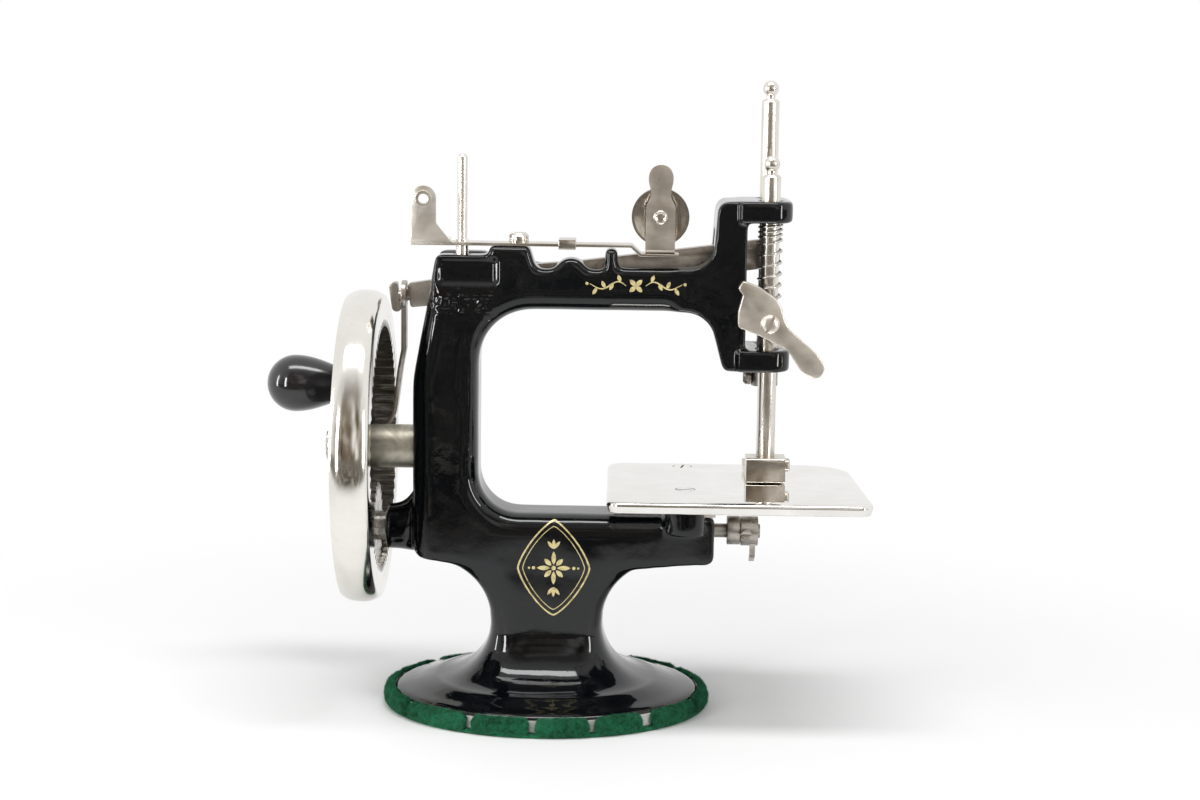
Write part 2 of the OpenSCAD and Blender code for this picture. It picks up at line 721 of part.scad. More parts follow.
module handwheel() color(NICKEL) difference() {
    union() {
        turned_x(wheel_profile, 0, wheel_z);
        rod_x(handle_boss_left, web_face - 0.5, 9, handle_y, handle_z);
    }
    translate([0, 0, wheel_z])
        slab_yz(gear_outline(ring_teeth, ring_root_r, ring_tip_r - 1, gear_backlash / 2), rim_right - ring_depth, rim_right + 1);
    rod_x(web_face - hub_l - 1, web_face + 1, journal_d + 2 * run_fit, 0, wheel_z);
    rod_x(handle_boss_left - 1, web_face + 1, handle_stud_d + 2 * seat_fit, handle_y, handle_z);
}

knob_right = handle_boss_left - 1.3;
knob_left = knob_right - knob_l;
knob_waist = 4.4;
// Egg-shaped knob: a half round at the free end, and a long taper to the wheel
knob_profile = concat(
    [[handle_stud_d / 2 + run_fit, knob_right], [knob_waist, knob_right]],
    [for (i = [1 : 10])
        let (t = i / 10)
        [knob_waist + (knob_d / 2 - knob_waist) * sin(90 * t), knob_right - (knob_l - knob_d / 2) * t]],
    [for (i = [1 : 8])
        let (turn = 9 * i)
        [knob_d / 2 * cos(turn), knob_left + knob_d / 2 * (1 - sin(turn))]],
    [[handle_stud_d / 2 + run_fit, knob_left + 0.35]]);

module handle_knob() color(JAPAN) turned_x(knob_profile, handle_y, handle_z);

module handle_stud() color(STEEL) union() {
    rod_x(knob_left + 0.2, web_face, handle_stud_d, handle_y, handle_z);
    rod_x(knob_right + 0.2, handle_boss_left, 6.6, handle_y, handle_z);
    turned_x([[0, knob_left - 1], [1.6, knob_left - 0.9], [2.1, knob_left - 0.3], [2.1, knob_left + 0.05], [0, knob_left + 0.25]],
        handle_y, handle_z);
}

// Lower shaft with its pinion, cam and looper

looper_hub_x = [52.4, 57];
looper_hub_d = 8;
looper_x = [54.9, 56.3];
looper_r = 9.2;
cam_x = [48.7, 52.2];
cam_d = 7.8;
cam_throw = 0.6;
pinion_hub_d = 8;
crank_pin_d = 2.4;

module looper_shaft() color(STEEL)
    rod_x(pinion_left, looper_hub_x[1] + 0.6, shaft_d, 0, shaft_z);

module drive_pinion() color(STEEL) difference() {
    union() {
        translate([0, 0, shaft_z])
            slab_yz(gear_outline(pinion_teeth, gear_module * (pinion_teeth / 2 + 0.9), gear_module * (pinion_teeth / 2 - 1.1), -gear_backlash / 2),
                pinion_left, pinion_right);
        rod_x(pinion_right - 1, boss_left - 0.3, pinion_hub_d, 0, shaft_z);
    }
    rod_x(pinion_left - 1, boss_left + 1, shaft_d + 2 * seat_fit, 0, shaft_z);
    rod_x(pinion_left - 1, pinion_right + 0.1, crank_pin_d + 2 * seat_fit, 0, shaft_z - crank_r);
}

module crank_pin() color(STEEL) rod_x(pinion_left - 0.6, pinion_right, crank_pin_d, 0, shaft_z - crank_r);

module feed_cam() color(STEEL) difference() {
    rod_x(cam_x[0], cam_x[1], cam_d, cam_throw, shaft_z);
    rod_x(cam_x[0] - 1, cam_x[1] + 1, shaft_d + 2 * seat_fit, 0, shaft_z);
}

// Hook that catches the loop: a tapering arm, bent round at its end
looper_outline = rounded([
    [-2.6, shaft_z, 0],
    [-2.4, shaft_z - looper_r + 2.6, 2],
    [3.2, shaft_z - looper_r, 0.5],
    [3.6, shaft_z - looper_r + 0.7, 0.3],
    [0.4, shaft_z - looper_r + 2.9, 1],
    [2.6, shaft_z, 0]]);
looper_screw_x = 53.6;
looper_screw_d = 1.8;

module looper() color(STEEL) difference() {
    union() {
        rod_x(looper_hub_x[0], looper_hub_x[1], looper_hub_d, 0, shaft_z);
        slab_yz(looper_outline, looper_x[0], looper_x[1]);
    }
    rod_x(looper_hub_x[0] - 1, looper_hub_x[1] + 2, shaft_d + 2 * seat_fit, 0, shaft_z);
    rod_y(-looper_hub_d, 0, looper_screw_d + 2 * seat_fit, looper_screw_x, shaft_z);
}

module looper_screw() color(STEEL)
    translate([looper_screw_x, -looper_hub_d / 2 - 0.4, shaft_z]) rotate([90, 0, 0])
        slotted_screw(3, 1, looper_screw_d, looper_hub_d / 2 - shaft_d / 2 + 0.4 - 0.05);

// Feed under the plate: a guide on the cross bar, a bar that slides, and the toothed dog

feed_bar_z = [58.2, 59.9];
feed_bar_y = [-5.5, 2.3];
feed_travel = 1.2;
guide_x = [rest_x[1], rest_x[1] + 3.2];
guide_y = [-13.5, 10.5];
guide_z = [54.6, plate_under];
guide_screw_y = [-10.6, 7.6];
guide_screw_z = 57;
guide_screw_d = 1.9;
guide_screw_l = 5;
guide_slip = 0.15;

module feed_guide() color(STEEL) difference() {
    box(guide_x, guide_y, guide_z);
    box([guide_x[0] - 1, guide_x[1] + 1],
        [feed_bar_y[0] - feed_travel - clear, feed_bar_y[1] + feed_travel + clear],
        [feed_bar_z[0] - guide_slip, feed_bar_z[1] + guide_slip]);
    for (y = guide_screw_y)
        rod_x(guide_x[0] - 1, guide_x[1] + 1, guide_screw_d + 2 * seat_fit, y, guide_screw_z);
}

module feed_guide_screws() color(STEEL)
    for (y = guide_screw_y)
        translate([guide_x[1], y, guide_screw_z]) rotate([0, 90, 0])
            slotted_screw(3.6, 1.2, guide_screw_d, guide_x[1] - guide_x[0] + guide_screw_l - 0.2);

module feed_bar() color(STEEL) union() {
    box([guide_x[0] + 0.5, feed_slot_x[1] + 1.6], feed_bar_y, feed_bar_z);
    for (x = feed_slot_x)
        box([x - 1.6, x + 1.6], [feed_bar_y[1] - 1, feed_slot_y[1] - feed_travel - clear], feed_bar_z);
    box([cam_x[0] + 0.4, cam_x[1] - 0.4], [-2.4, 1.6],
        [shaft_z + cam_d / 2 + cam_throw + 0.4, feed_bar_z[0] + 0.5]);
}

dog_w = 1.6;
dog_teeth = 6;
dog_y = [feed_slot_y[0] + feed_travel + clear, feed_slot_y[1] - feed_travel - clear];
dog_pitch = (dog_y[1] - dog_y[0]) / dog_teeth;
dog_outline = concat(
    [[dog_y[0], feed_bar_z[1]]],
    [for (i = [0 : dog_teeth - 1], k = [0, 1]) [dog_y[0] + dog_pitch * (i + k * 0.98), plate_top - 0.45 + 0.55 * k]],
    [[dog_y[1], feed_bar_z[1]]]);

module feed_dog() color(NICKEL)
    for (x = feed_slot_x)
        slab_yz(dog_outline, x - dog_w / 2, x + dog_w / 2);

// Needle lever and link

lever_slot_w = stud_pin_d + 0.5;
lever_slot_l = 1.9;
neck_d = 3;
neck_l = 2.8;
lobe_l = 2.2;
// Outline with the pivot at the origin and the needle bar to the right
lever_outline = rounded([
    [-neck_arm + neck_l / 2, -3.2, 0.8],
    [-14, -3.6, 10],
    [0, -4.8, 12],
    [16, -3.9, 10],
    [lever_reach + 2.9, -lever_h / 2, 3],
    [lever_reach + 2.9, lever_h / 2, 3],
    [16, 3.9, 10],
    [0, 4.8, 12],
    [-14, 3.6, 10],
    [-neck_arm + neck_l / 2, 3.2, 0.8]]);
slot_half = (lever_slot_l + lever_slot_w) / 2;
lever_slot = rounded([
    [lever_reach - slot_half, -lever_slot_w / 2, lever_slot_w * 0.45],
    [lever_reach + slot_half, -lever_slot_w / 2, lever_slot_w * 0.45],
    [lever_reach + slot_half, lever_slot_w / 2, lever_slot_w * 0.45],
    [lever_reach - slot_half, lever_slot_w / 2, lever_slot_w * 0.45]]);
lobe_outline = rounded([
    [-neck_arm - neck_l / 2 - lobe_l, -3.9, lobe_l * 0.6],
    [-neck_arm - neck_l / 2, -3.9, lobe_l * 0.25],
    [-neck_arm - neck_l / 2, 3.9, lobe_l * 0.25],
    [-neck_arm - neck_l / 2 - lobe_l, 3.9, lobe_l * 0.6]]);

module needle_lever() color(STEEL)
    translate([pivot_x, 0, pivot_z]) rotate([0, -lever_rise, 0]) difference() {
        union() {
            slab_xz(lever_outline, lever_near, lever_near + lever_t);
            slab_xz(lobe_outline, lever_near, lever_near + lever_t);
            rod_x(-neck_arm - neck_l / 2 - 0.5, -neck_arm + neck_l / 2 + 0.5, neck_d, lever_near + lever_t / 2, 0);
        }
        rod_y(-20, 20, pivot_d + 2 * run_fit, 0, 0);
        slab_xz(lever_slot, -20, 20);
    }

pivot_screw_depth = 7;

module lever_pivot_screw() color(STEEL)
    translate([pivot_x, frame_t / 2, pivot_z]) rotate([-90, 0, 0]) rotate(60)
        slotted_screw(7, 2, pivot_d, frame_t / 2 + pivot_screw_depth);

// Flat link: bent sideways to reach the pinion's outer face, and bowed to pass behind the stud
link_w = 5;
link_eye_d = neck_d + 1.2;
link_top_y = lever_near + lever_t / 2;
link_bow_y = stud_d / 2 + 1.1 + link_w / 2;
link_lean = 3.5;
link_span = [link_low_x - 2 * link_t, neck_x + 2 * link_t];
crank_eye_z = shaft_z - crank_r;
// Bends seen from the front: straight below the neck, a gentle lean, then a set to the pinion's side
link_side = band([
    [neck_x, neck_z + 6],
    [neck_x, neck_z - 14.2],
    [neck_x - link_lean, wheel_z + 7.6],
    [link_low_x, wheel_z - 7.9],
    [link_low_x, crank_eye_z - 6]], link_t);
// Bends seen from the end: straight below the neck, then round the stud and back to the crank pin
link_face = band([
    [link_top_y, neck_z],
    [link_top_y, neck_z - 19.2],
    [link_bow_y, wheel_z + 9.6],
    [link_bow_y, shaft_z + 5.6],
    [0, crank_eye_z]], link_w);

module link() color(STEEL) difference() {
    intersection() {
        slab_xz(link_side, -30, 30);
        union() {
            slab_yz(link_face, link_span[0], link_span[1]);
            rod_x(link_span[0], link_span[1], 8.2, link_top_y, neck_z);
            rod_x(link_span[0], link_span[1], 5.6, 0, crank_eye_z);
        }
    }
    rod_x(link_span[0], link_span[1], link_eye_d, link_top_y, neck_z);
    rod_x(link_span[0], link_low_x + link_t, crank_pin_d + 0.2, 0, crank_eye_z);
}

// Needle bar, guided by the far bores of the lugs

// Profile of a bar's upper end: shoulder, groove and ball
function ball_end(bar_d, top) = concat(
    [[bar_d / 2, top - 5.6], [bar_d / 2 - 0.5, top - 5], [1.2, top - 4.9], [1.2, top - 3.9]],
    [for (turn = [-50 : 20 : 70]) [needle_ball_r * cos(turn), top - needle_ball_r + needle_ball_r * sin(turn)]],
    [[0, top]]);

needle_seat_z = needle_bar_bottom + 6;
needle_d = 1.5;

module needle_bar() color(NICKEL) difference() {
    turned_z(concat([[0, needle_bar_bottom], [needle_bar_d / 2, needle_bar_bottom]], ball_end(needle_bar_d, needle_bar_top)), bar_x, bar_y);
    rod_z(needle_bar_bottom - 1, needle_seat_z, needle_d + 2 * seat_fit, bar_x, bar_y);
    rod_y(0, bar_y, stud_pin_d - 0.6 + 2 * seat_fit, bar_x, stud_pin_z);
    rod_x(bar_x - needle_bar_d, bar_x, clamp_screw_d + 2 * seat_fit, bar_y, clamp_z);
}

module needle_bar_stud() color(STEEL) union() {
    rod_y(lever_near - 0.3, bar_y - needle_bar_d / 2 - 0.05, stud_pin_d, bar_x, stud_pin_z);
    rod_y(lever_near, bar_y, stud_pin_d - 0.6, bar_x, stud_pin_z);
}

clamp_z = needle_bar_bottom + 2.3;
clamp_d = 7.2;
clamp_screw_d = 1.8;

module needle_clamp() color(NICKEL) difference() {
    rod_z(needle_bar_bottom, needle_bar_bottom + 4.6, clamp_d, bar_x, bar_y);
    rod_z(needle_bar_bottom - 1, needle_bar_bottom + 7, needle_bar_d + 2 * seat_fit, bar_x, bar_y);
    rod_x(bar_x - clamp_d, bar_x, clamp_screw_d + 2 * seat_fit, bar_y, clamp_z);
}

module needle_clamp_screw() color(NICKEL)
    translate([bar_x - clamp_d / 2 - 0.15, bar_y, clamp_z]) rotate([0, -90, 0]) rotate(50)
        slotted_screw(4.2, 2, clamp_screw_d, clamp_d / 2 + 0.15 - needle_d / 2 - 0.02);

// Needle with a thick shank, a thin blade and a point
module needle() color(NICKEL)
    turned_z([
        [0, needle_seat_z],
        [needle_d / 2, needle_seat_z],
        [needle_d / 2, needle_bar_bottom - 2],
        [0.5, needle_bar_bottom - 3.4],
        [0.45, needle_tip + 3],
        [0.05, needle_tip],
        [0, needle_tip]], bar_x, bar_y);

// Presser bar, spring, foot and lifter

module presser_bar() color(NICKEL) difference() {
    turned_z(concat([[0, foot_bottom + 1.8], [presser_bar_d / 2, foot_bottom + 1.8]], ball_end(presser_bar_d, presser_bar_top)), bar_x, -bar_y);
    rod_y(-bar_y - presser_bar_d, -bar_y + 1, lifter_screw_d + 2 * seat_fit, bar_x, lifter_z);
    rod_x(bar_x, bar_x + foot_w, foot_screw_d + 2 * seat_fit, -bar_y, foot_screw_z);
}

// Collar pinned to the bar, for the spring to stand on
module spring_collar() color(STEEL) difference() {
    rod_z(spring_bottom - 1.5, spring_bottom - spring_wire / 2, spring_d, bar_x, -bar_y);
    rod_z(spring_bottom - 3, spring_bottom + 2, presser_bar_d + 2 * seat_fit, bar_x, -bar_y);
}

spring_turns = spring_close_turns + spring_open_turns;
spring_rings = 8;
spring_sides = 6;
spring_close_pitch = spring_wire + 0.5;
spring_foot = spring_bottom + spring_wire * 0.1;
spring_head = spring_top - spring_wire / 2;
spring_open_pitch = (spring_head - spring_foot - spring_close_pitch * spring_close_turns) / spring_open_turns;
spring_mean_r = (spring_d - spring_wire) / 2;

function spring_z(turn) = spring_foot + spring_open_pitch * min(turn, spring_open_turns)
    + spring_close_pitch * max(0, turn - spring_open_turns);
spring_coil = [for (i = [0 : spring_turns * spring_rings])
    let (turn = i / spring_rings)
    [spring_mean_r * cos(360 * turn), spring_mean_r * sin(360 * turn), spring_z(turn)]];
// Each end runs straight on for one wire diameter
spring_path = concat(
    [spring_coil[0] - [0, spring_wire, 0]],
    spring_coil,
    [spring_coil[len(spring_coil) - 1] + [0, spring_wire, 0]]);

// Ring of points round the wire at one place on its path
function wire_ring(path, i, wire, sides) =
    let (
        along = unit(path[min(i + 1, len(path) - 1)] - path[max(i - 1, 0)]),
        across = unit(cross(along, [0, 0, 1])),
        up = cross(across, along)
    )
    [for (k = [0 : sides - 1])
        path[i] + wire / 2 * (across * cos(360 * k / sides) - up * sin(360 * k / sides))];

// Smallest gap between turns, measured on the points of the path
spring_gap = min([for (i = [0 : len(spring_path) - 1], j = [i + spring_rings - 2 : 1 : len(spring_path) - 1])
    norm(spring_path[i] - spring_path[j])]) - spring_wire;

module presser_spring() color(STEEL) {
    echo(spring_gap = spring_gap);
    translate([bar_x, -bar_y, 0])
        loft([for (i = [0 : len(spring_path) - 1]) wire_ring(spring_path, i, spring_wire, spring_sides)]);
}

foot_screw_z = foot_bottom + 4.2;
foot_screw_d = 2;
foot_near = -bar_y - 4.3;
// Side view of the foot: block round the bar, and a sole that reaches past the needle
foot_side = rounded([
    [foot_near, foot_bottom, 0.4],
    [foot_near, foot_top, 1],
    [-bar_y + 4.2, foot_top, 1.4],
    [-bar_y + 4.2, foot_bottom + 1.5, 1.2],
    [bar_y + 4.4, foot_bottom + 1.5, 0.4],
    [bar_y + 7, foot_bottom + 2.7, 0.3],
    [bar_y + 7, foot_bottom + 1.6, 0.3],
    [bar_y + 4.2, foot_bottom, 2]]);

module presser_foot() color(NICKEL) difference() {
    slab_yz(foot_side, bar_x - foot_w / 2, bar_x + foot_w / 2);
    rod_z(foot_bottom + 1.8, foot_top + 1, presser_bar_d + 2 * seat_fit, bar_x, -bar_y);
    rod_z(foot_bottom - 1, foot_top, 4, bar_x, bar_y);
    rod_x(bar_x, bar_x + foot_w, foot_screw_d + 2 * seat_fit, -bar_y, foot_screw_z);
}

module foot_screw() color(STEEL)
    translate([bar_x + foot_w / 2, -bar_y, foot_screw_z]) rotate([0, 90, 0]) rotate(15)
        slotted_screw(3.6, 1.4, foot_screw_d, foot_w / 2 - 0.2);

// Lifter: a cam behind the pivot and a curved handle hanging to the right
lifter_screw_d = 2.6;
lifter_head_d = 5.2;
lifter_outline = rounded([
    [-8.6, 9.2, 1.2],
    [-7.2, 11.4, 1],
    [-3, 9.8, 6],
    [2.4, 6, 6],
    [4.4, -0.6, 8],
    [12.6, -7.6, 3],
    [15, -11.4, 2],
    [13.2, -14.8, 1.6],
    [8.8, -12.8, 4],
    [4.8, -6.8, 6],
    [-2.4, -3.2, 8],
    [-8.4, -0.9, 1.2],
    [-8.4, 3, 6],
    [-7.2, 7.6, 1]]);

module lifter() color(NICKEL) difference() {
    translate([bar_x, 0, lifter_z]) slab_xz(lifter_outline, lifter_near, lifter_near + lifter_t);
    rod_y(-30, 0, lifter_screw_d + 2 * run_fit, bar_x, lifter_z);
}

module lifter_screw() color(NICKEL) union() {
    translate([bar_x, lifter_near - 0.1, lifter_z]) rotate([90, 0, 0]) rotate(75)
        slotted_screw(lifter_head_d, 1.6, lifter_screw_d, -lifter_near - 0.1 - bar_y + 0.6);
    rod_y(lifter_near + lifter_t + 0.1, -bar_y - presser_bar_d / 2 - 0.05, lifter_screw_d + 1.4, bar_x, lifter_z);
}

body_casting();
felt_pad();
pad_core();
cloth_plate();
plate_screws();
spool_pin();
thread_guide();
thread_strip();
strip_screw();
strip_clip();
tension_bracket();
tension_pin();
tension_discs();
wheel_stud();
wheel_washer();
wheel_screw();
handwheel();
handle_stud();
handle_knob();
looper_shaft();
drive_pinion();
crank_pin();
feed_cam();
looper();
looper_screw();
feed_guide();
feed_guide_screws();
feed_bar();
feed_dog();
needle_lever();
lever_pivot_screw();
link();
needle_bar();
needle_bar_stud();
needle_clamp();
needle_clamp_screw();
needle();
presser_bar();
spring_collar();
presser_spring();
presser_foot();
foot_screw();
lifter();
lifter_screw();
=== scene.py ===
"""Looks of the hand-cranked toy sewing machine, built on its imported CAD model.

Shapes are in millimetres, in the part's own frame: X to the needle end, Y away from the lifter
side, Z up, with the origin on the table under the middle of the oval base. Textures, lamps and
the camera are in metres.
"""
import json
import math

import bmesh
import bpy
from mathutils import Matrix, Vector, noise
from mathutils.bvhtree import BVHTree


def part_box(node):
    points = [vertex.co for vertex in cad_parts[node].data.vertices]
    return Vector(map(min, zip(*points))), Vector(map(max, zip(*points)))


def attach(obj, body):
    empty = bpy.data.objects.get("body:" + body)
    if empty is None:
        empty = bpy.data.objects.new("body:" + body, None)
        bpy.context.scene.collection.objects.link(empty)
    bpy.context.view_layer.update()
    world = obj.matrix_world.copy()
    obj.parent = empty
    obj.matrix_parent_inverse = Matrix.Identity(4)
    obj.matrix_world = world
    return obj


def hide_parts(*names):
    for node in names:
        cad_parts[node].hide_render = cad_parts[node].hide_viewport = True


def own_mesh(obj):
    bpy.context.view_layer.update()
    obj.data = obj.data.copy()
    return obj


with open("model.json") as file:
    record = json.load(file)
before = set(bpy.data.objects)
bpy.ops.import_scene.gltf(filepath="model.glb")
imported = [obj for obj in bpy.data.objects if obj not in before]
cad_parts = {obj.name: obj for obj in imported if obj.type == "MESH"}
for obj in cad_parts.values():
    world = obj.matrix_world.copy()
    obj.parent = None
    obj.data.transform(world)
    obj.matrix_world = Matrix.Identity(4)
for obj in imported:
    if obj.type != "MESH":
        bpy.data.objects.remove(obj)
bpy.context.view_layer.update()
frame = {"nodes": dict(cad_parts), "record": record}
nodes = frame["nodes"]
scene = bpy.context.scene
scene.view_settings.view_transform = "Standard"
MM = 0.001


# Materials

class Nodes:
    """A node tree, with short calls for what goes in it."""

    def __init__(self, tree, coordinates=None):
        self.tree = tree
        if coordinates:
            self.place = tree.nodes.new("ShaderNodeTexCoord").outputs[coordinates]

    def node(self, kind, links=None, **inputs):
        made = self.tree.nodes.new(kind)
        for socket, value in inputs.items():
            made.inputs[socket.replace("_", " ")].default_value = value
        for socket, source in (links or {}).items():
            self.tree.links.new(source, made.inputs[socket])
        return made

    def stretched(self, scale):
        """The coordinates, stretched before a texture reads them."""
        return self.node("ShaderNodeMapping", {"Vector": self.place}, Scale=scale).outputs[0]

    def noise(self, scale, detail=3.0, rough=0.5, warp=0.0, place=None):
        made = self.node("ShaderNodeTexNoise", {"Vector": place or self.place},
                         Scale=scale, Detail=detail, Roughness=rough, Distortion=warp)
        return made.outputs["Fac"]

    def cells(self, scale):
        made = self.node("ShaderNodeTexVoronoi", {"Vector": self.place}, Scale=scale)
        return made.outputs["Distance"]

    def along(self, axis):
        """One of the coordinates."""
        return self.node("ShaderNodeSeparateXYZ", {"Vector": self.place}).outputs[axis]

    def spread(self, value, low, high, to_low=0.0, to_high=1.0):
        made = self.node("ShaderNodeMapRange", {"Value": value})
        made.interpolation_type = "SMOOTHSTEP"
        sockets = ("From Min", "From Max", "To Min", "To Max")
        for socket, number in zip(sockets, (low, high, to_low, to_high)):
            made.inputs[socket].default_value = number
        return made.outputs[0]

    def math(self, action, first, second):
        made = self.tree.nodes.new("ShaderNodeMath")
        made.operation = action
        for socket, value in zip(made.inputs, (first, second)):
            if isinstance(value, (int, float)):
                socket.default_value = value
            else:
                self.tree.links.new(value, socket)
        return made.outputs[0]

    def colours(self, value, *stops):
        """A colour ramp from (position, colour) stops."""
        made = self.node("ShaderNodeValToRGB", {"Fac": value})
        ramp = made.color_ramp
        while len(ramp.elements) < len(stops):
            ramp.elements.new(0.5)
        for element, (position, colour) in zip(ramp.elements, stops):
            element.position = position
            element.color = (*colour, 1)
        return made.outputs["Color"]

    def mix(self, factor, first, second):
        """Two colours mixed by a texture."""
        made = self.tree.nodes.new("ShaderNodeMix")
        made.data_type = "RGBA"
        self.tree.links.new(factor, made.inputs["Factor"])
        for socket, value in ((made.inputs[6], first), (made.inputs[7], second)):
            if isinstance(value, tuple):
                socket.default_value = (*value, 1)
            else:
                self.tree.links.new(value, socket)
        return made.outputs[2]


class Look(Nodes):
    """A material whose textures feed one shader."""

    def __init__(self, name, **sockets):
        self.material = bpy.data.materials.new(name)
        self.material.use_nodes = True
        super().__init__(self.material.node_tree, "Object")
        self.shader = self.tree.nodes["Principled BSDF"]
        for socket, value in sockets.items():
            self.shader.inputs[socket.replace("_", " ")].default_value = value

    def feed(self, socket, source):
        self.tree.links.new(source, self.shader.inputs[socket])

    def finish(self, colour, rough, *bumps):
        """The material with its colour, a roughness if it varies, and bumps of (height, strength, depth)."""
        self.feed("Base Color", colour)
        if rough:
            self.feed("Roughness", rough)
        last = None
        for height, strength, depth in bumps:
            made = self.node("ShaderNodeBump", {"Height": height}, Strength=strength, Distance=depth)
            if last:
                self.tree.links.new(last, made.inputs["Normal"])
            last = made.outputs[0]
        self.feed("Normal", last)
        return self.material


def japan_look():
    """Glossy black japan over a rough casting: wavy, with dust specks, worn chips and a rubbed rim."""
    look = Look("japan_black", IOR=1.5)
    cloud = look.noise(45, 4)
    speck = look.spread(look.cells(520), 0.06, 0.1)
    chip = look.spread(look.noise(95, 5, 0.62), 0.735, 0.76)
    tone = look.colours(cloud, (0.3, (0.0012, 0.0018, 0.0026)), (0.7, (0.0026, 0.0034, 0.0044)))
    tone = look.mix(look.math("MULTIPLY", chip, 0.35), tone, (0.09, 0.055, 0.04))
    rim = look.spread(look.along("Z"), 0.0044, 0.0056, 1.0, 0.0)
    worn = look.math("MULTIPLY", rim, look.spread(look.noise(330, 5, 0.65), 0.55, 0.66))
    tone = look.mix(look.math("MULTIPLY", worn, 0.8), tone, (0.13, 0.06, 0.04))
    rough = look.spread(look.noise(150, 5), 0.3, 0.75, 0.025, 0.085)
    rough = look.math("ADD", rough, look.math("MULTIPLY", chip, 0.25))
    return look.finish(tone, rough, (look.noise(75, 2), 0.22, 0.0006), (look.noise(420, 3), 0.14, 0.00012),
                       (speck, 0.3, 0.00008))


def nickel_look(name, dark, light, low, high, streak=(1, 1, 1), scratch=0.1, wave=0.12):
    """Nickel plate: cloudy tarnish, uneven polish, and fine scratches that streak can draw out one way."""
    look = Look(name, Metallic=1.0)
    cloud = look.noise(60, 5, 0.6, 0.4)
    line = look.noise(900, 3, 0.6, 0.0, look.stretched(streak))
    tarnish = look.math("ADD", look.math("MULTIPLY", cloud, 0.7), look.math("MULTIPLY", line, 0.3))
    colour = look.colours(tarnish, (0.32, dark), (0.62, light))
    rough = look.math("ADD", look.spread(look.noise(130, 4), 0.3, 0.7, low, high),
                      look.math("MULTIPLY", line, scratch * 0.4))
    return look.finish(colour, rough, (look.noise(110, 2), wave, 0.0003), (line, scratch, 0.00005))


def steel_look(name, dark, light, low, high):
    """Dull steel with oil stains and a fine grain."""
    look = Look(name, Metallic=1.0)
    stain = look.noise(130, 6, 0.65, 0.8)
    grain = look.noise(2200, 2)
    colour = look.colours(stain, (0.3, dark), (0.52, light), (0.75, dark))
    rough = look.spread(stain, 0.3, 0.7, high, low)
    return look.finish(colour, rough, (look.noise(300, 4), 0.25, 0.0001), (grain, 0.12, 0.00004))


def wheel_look():
    """The handwheel's web: black enamel over the casting, with oil and dull spots."""
    look = Look("wheel_black", IOR=1.5)
    cloud = look.noise(160, 5)
    tone = look.colours(cloud, (0.35, (0.006, 0.006, 0.007)), (0.7, (0.028, 0.026, 0.024)))
    rough = look.spread(cloud, 0.3, 0.7, 0.22, 0.5)
    return look.finish(tone, rough, (look.noise(420, 4), 0.35, 0.00015))


def knob_look():
    """Lacquered black wood: glossy, with faint turning rings and soft dents."""
    look = Look("knob_black", IOR=1.5, Coat_Weight=0.5, Coat_Roughness=0.05)
    ring = look.noise(500, 2, 0.5, 0.0, look.stretched((1, 0.05, 0.05)))
    tone = look.colours(look.noise(120, 4), (0.3, (0.006, 0.006, 0.007)), (0.7, (0.016, 0.015, 0.016)))
    rough = look.spread(look.noise(200, 4), 0.3, 0.7, 0.1, 0.22)
    return look.finish(tone, rough, (ring, 0.08, 0.0001), (look.noise(90, 2), 0.2, 0.0004))


def felt_look(name, deep, bright):
    """Matted green felt: mottled, with lint and a soft sheen."""
    look = Look(name, Roughness=0.95, Sheen_Weight=0.08, Sheen_Roughness=0.5, Specular_IOR_Level=0.1)
    tuft = look.noise(650, 6, 0.75)
    patch = look.noise(90, 3)
    both = look.math("ADD", look.math("MULTIPLY", tuft, 0.7), look.math("MULTIPLY", patch, 0.3))
    tone = look.colours(both, (0.4, deep), (0.6, bright))
    lint = look.spread(look.noise(1500, 2), 0.74, 0.8)
    tone = look.mix(look.math("MULTIPLY", lint, 0.5), tone, (0.25, 0.42, 0.3))
    return look.finish(tone, None, (tuft, 1.0, 0.0011), (look.noise(2400, 3), 0.8, 0.0005))


def card_look():
    """Pale board that shows in the slits of the felt, with a fibrous edge."""
    look = Look("pale_card", Roughness=0.85)
    fibre = look.noise(900, 5, 0.7, 0.0, look.stretched((1, 1, 3)))
    tone = look.colours(fibre, (0.3, (0.42, 0.43, 0.40)), (0.7, (0.66, 0.66, 0.62)))
    return look.finish(tone, None, (fibre, 0.3, 0.0002))


def gold_look():
    """Old gold paint with rubbed patches."""
    look = Look("gold_line", Metallic=0.35)
    rub = look.noise(700, 5, 0.7)
    tone = look.colours(rub, (0.28, (0.25, 0.19, 0.07)), (0.5, (0.72, 0.61, 0.3)),
                        (0.8, (0.82, 0.73, 0.44)))
    return look.finish(tone, look.spread(rub, 0.3, 0.7, 0.5, 0.32), (rub, 0.2, 0.00004))


japan = japan_look()
polished = nickel_look("nickel_polished", (0.79, 0.765, 0.71), (0.86, 0.84, 0.79), 0.09, 0.15,
                       (1, 1, 1), 0.03, 0.03)
plate_nickel = nickel_look("nickel_plate", (0.76, 0.74, 0.70), (0.88, 0.87, 0.84), 0.04, 0.1,
                           (0.12, 1, 1), 0.05, 0.06)
bar_nickel = nickel_look("nickel_bar", (0.68, 0.63, 0.565), (0.87, 0.835, 0.775), 0.22, 0.3,
                         (1, 1, 0.03), 0.01, 0.02)
satin = nickel_look("nickel_satin", (0.62, 0.565, 0.49), (0.84, 0.785, 0.71), 0.27, 0.4,
                    (0.25, 1, 0.6), 0.2)
strip_nickel = nickel_look("nickel_strip", (0.55, 0.50, 0.44), (0.76, 0.73, 0.67), 0.14, 0.26,
                           (0.08, 1, 1), 0.14)
# Lighter copy of the satin nickel for the thread guide: its extra brightness is painted light.
guide_nickel_painted_light = nickel_look("nickel_guide_painted_light", (0.78, 0.73, 0.655), (0.95, 0.91, 0.84), 0.27, 0.4,
                           (0.25, 1, 0.6), 0.2)
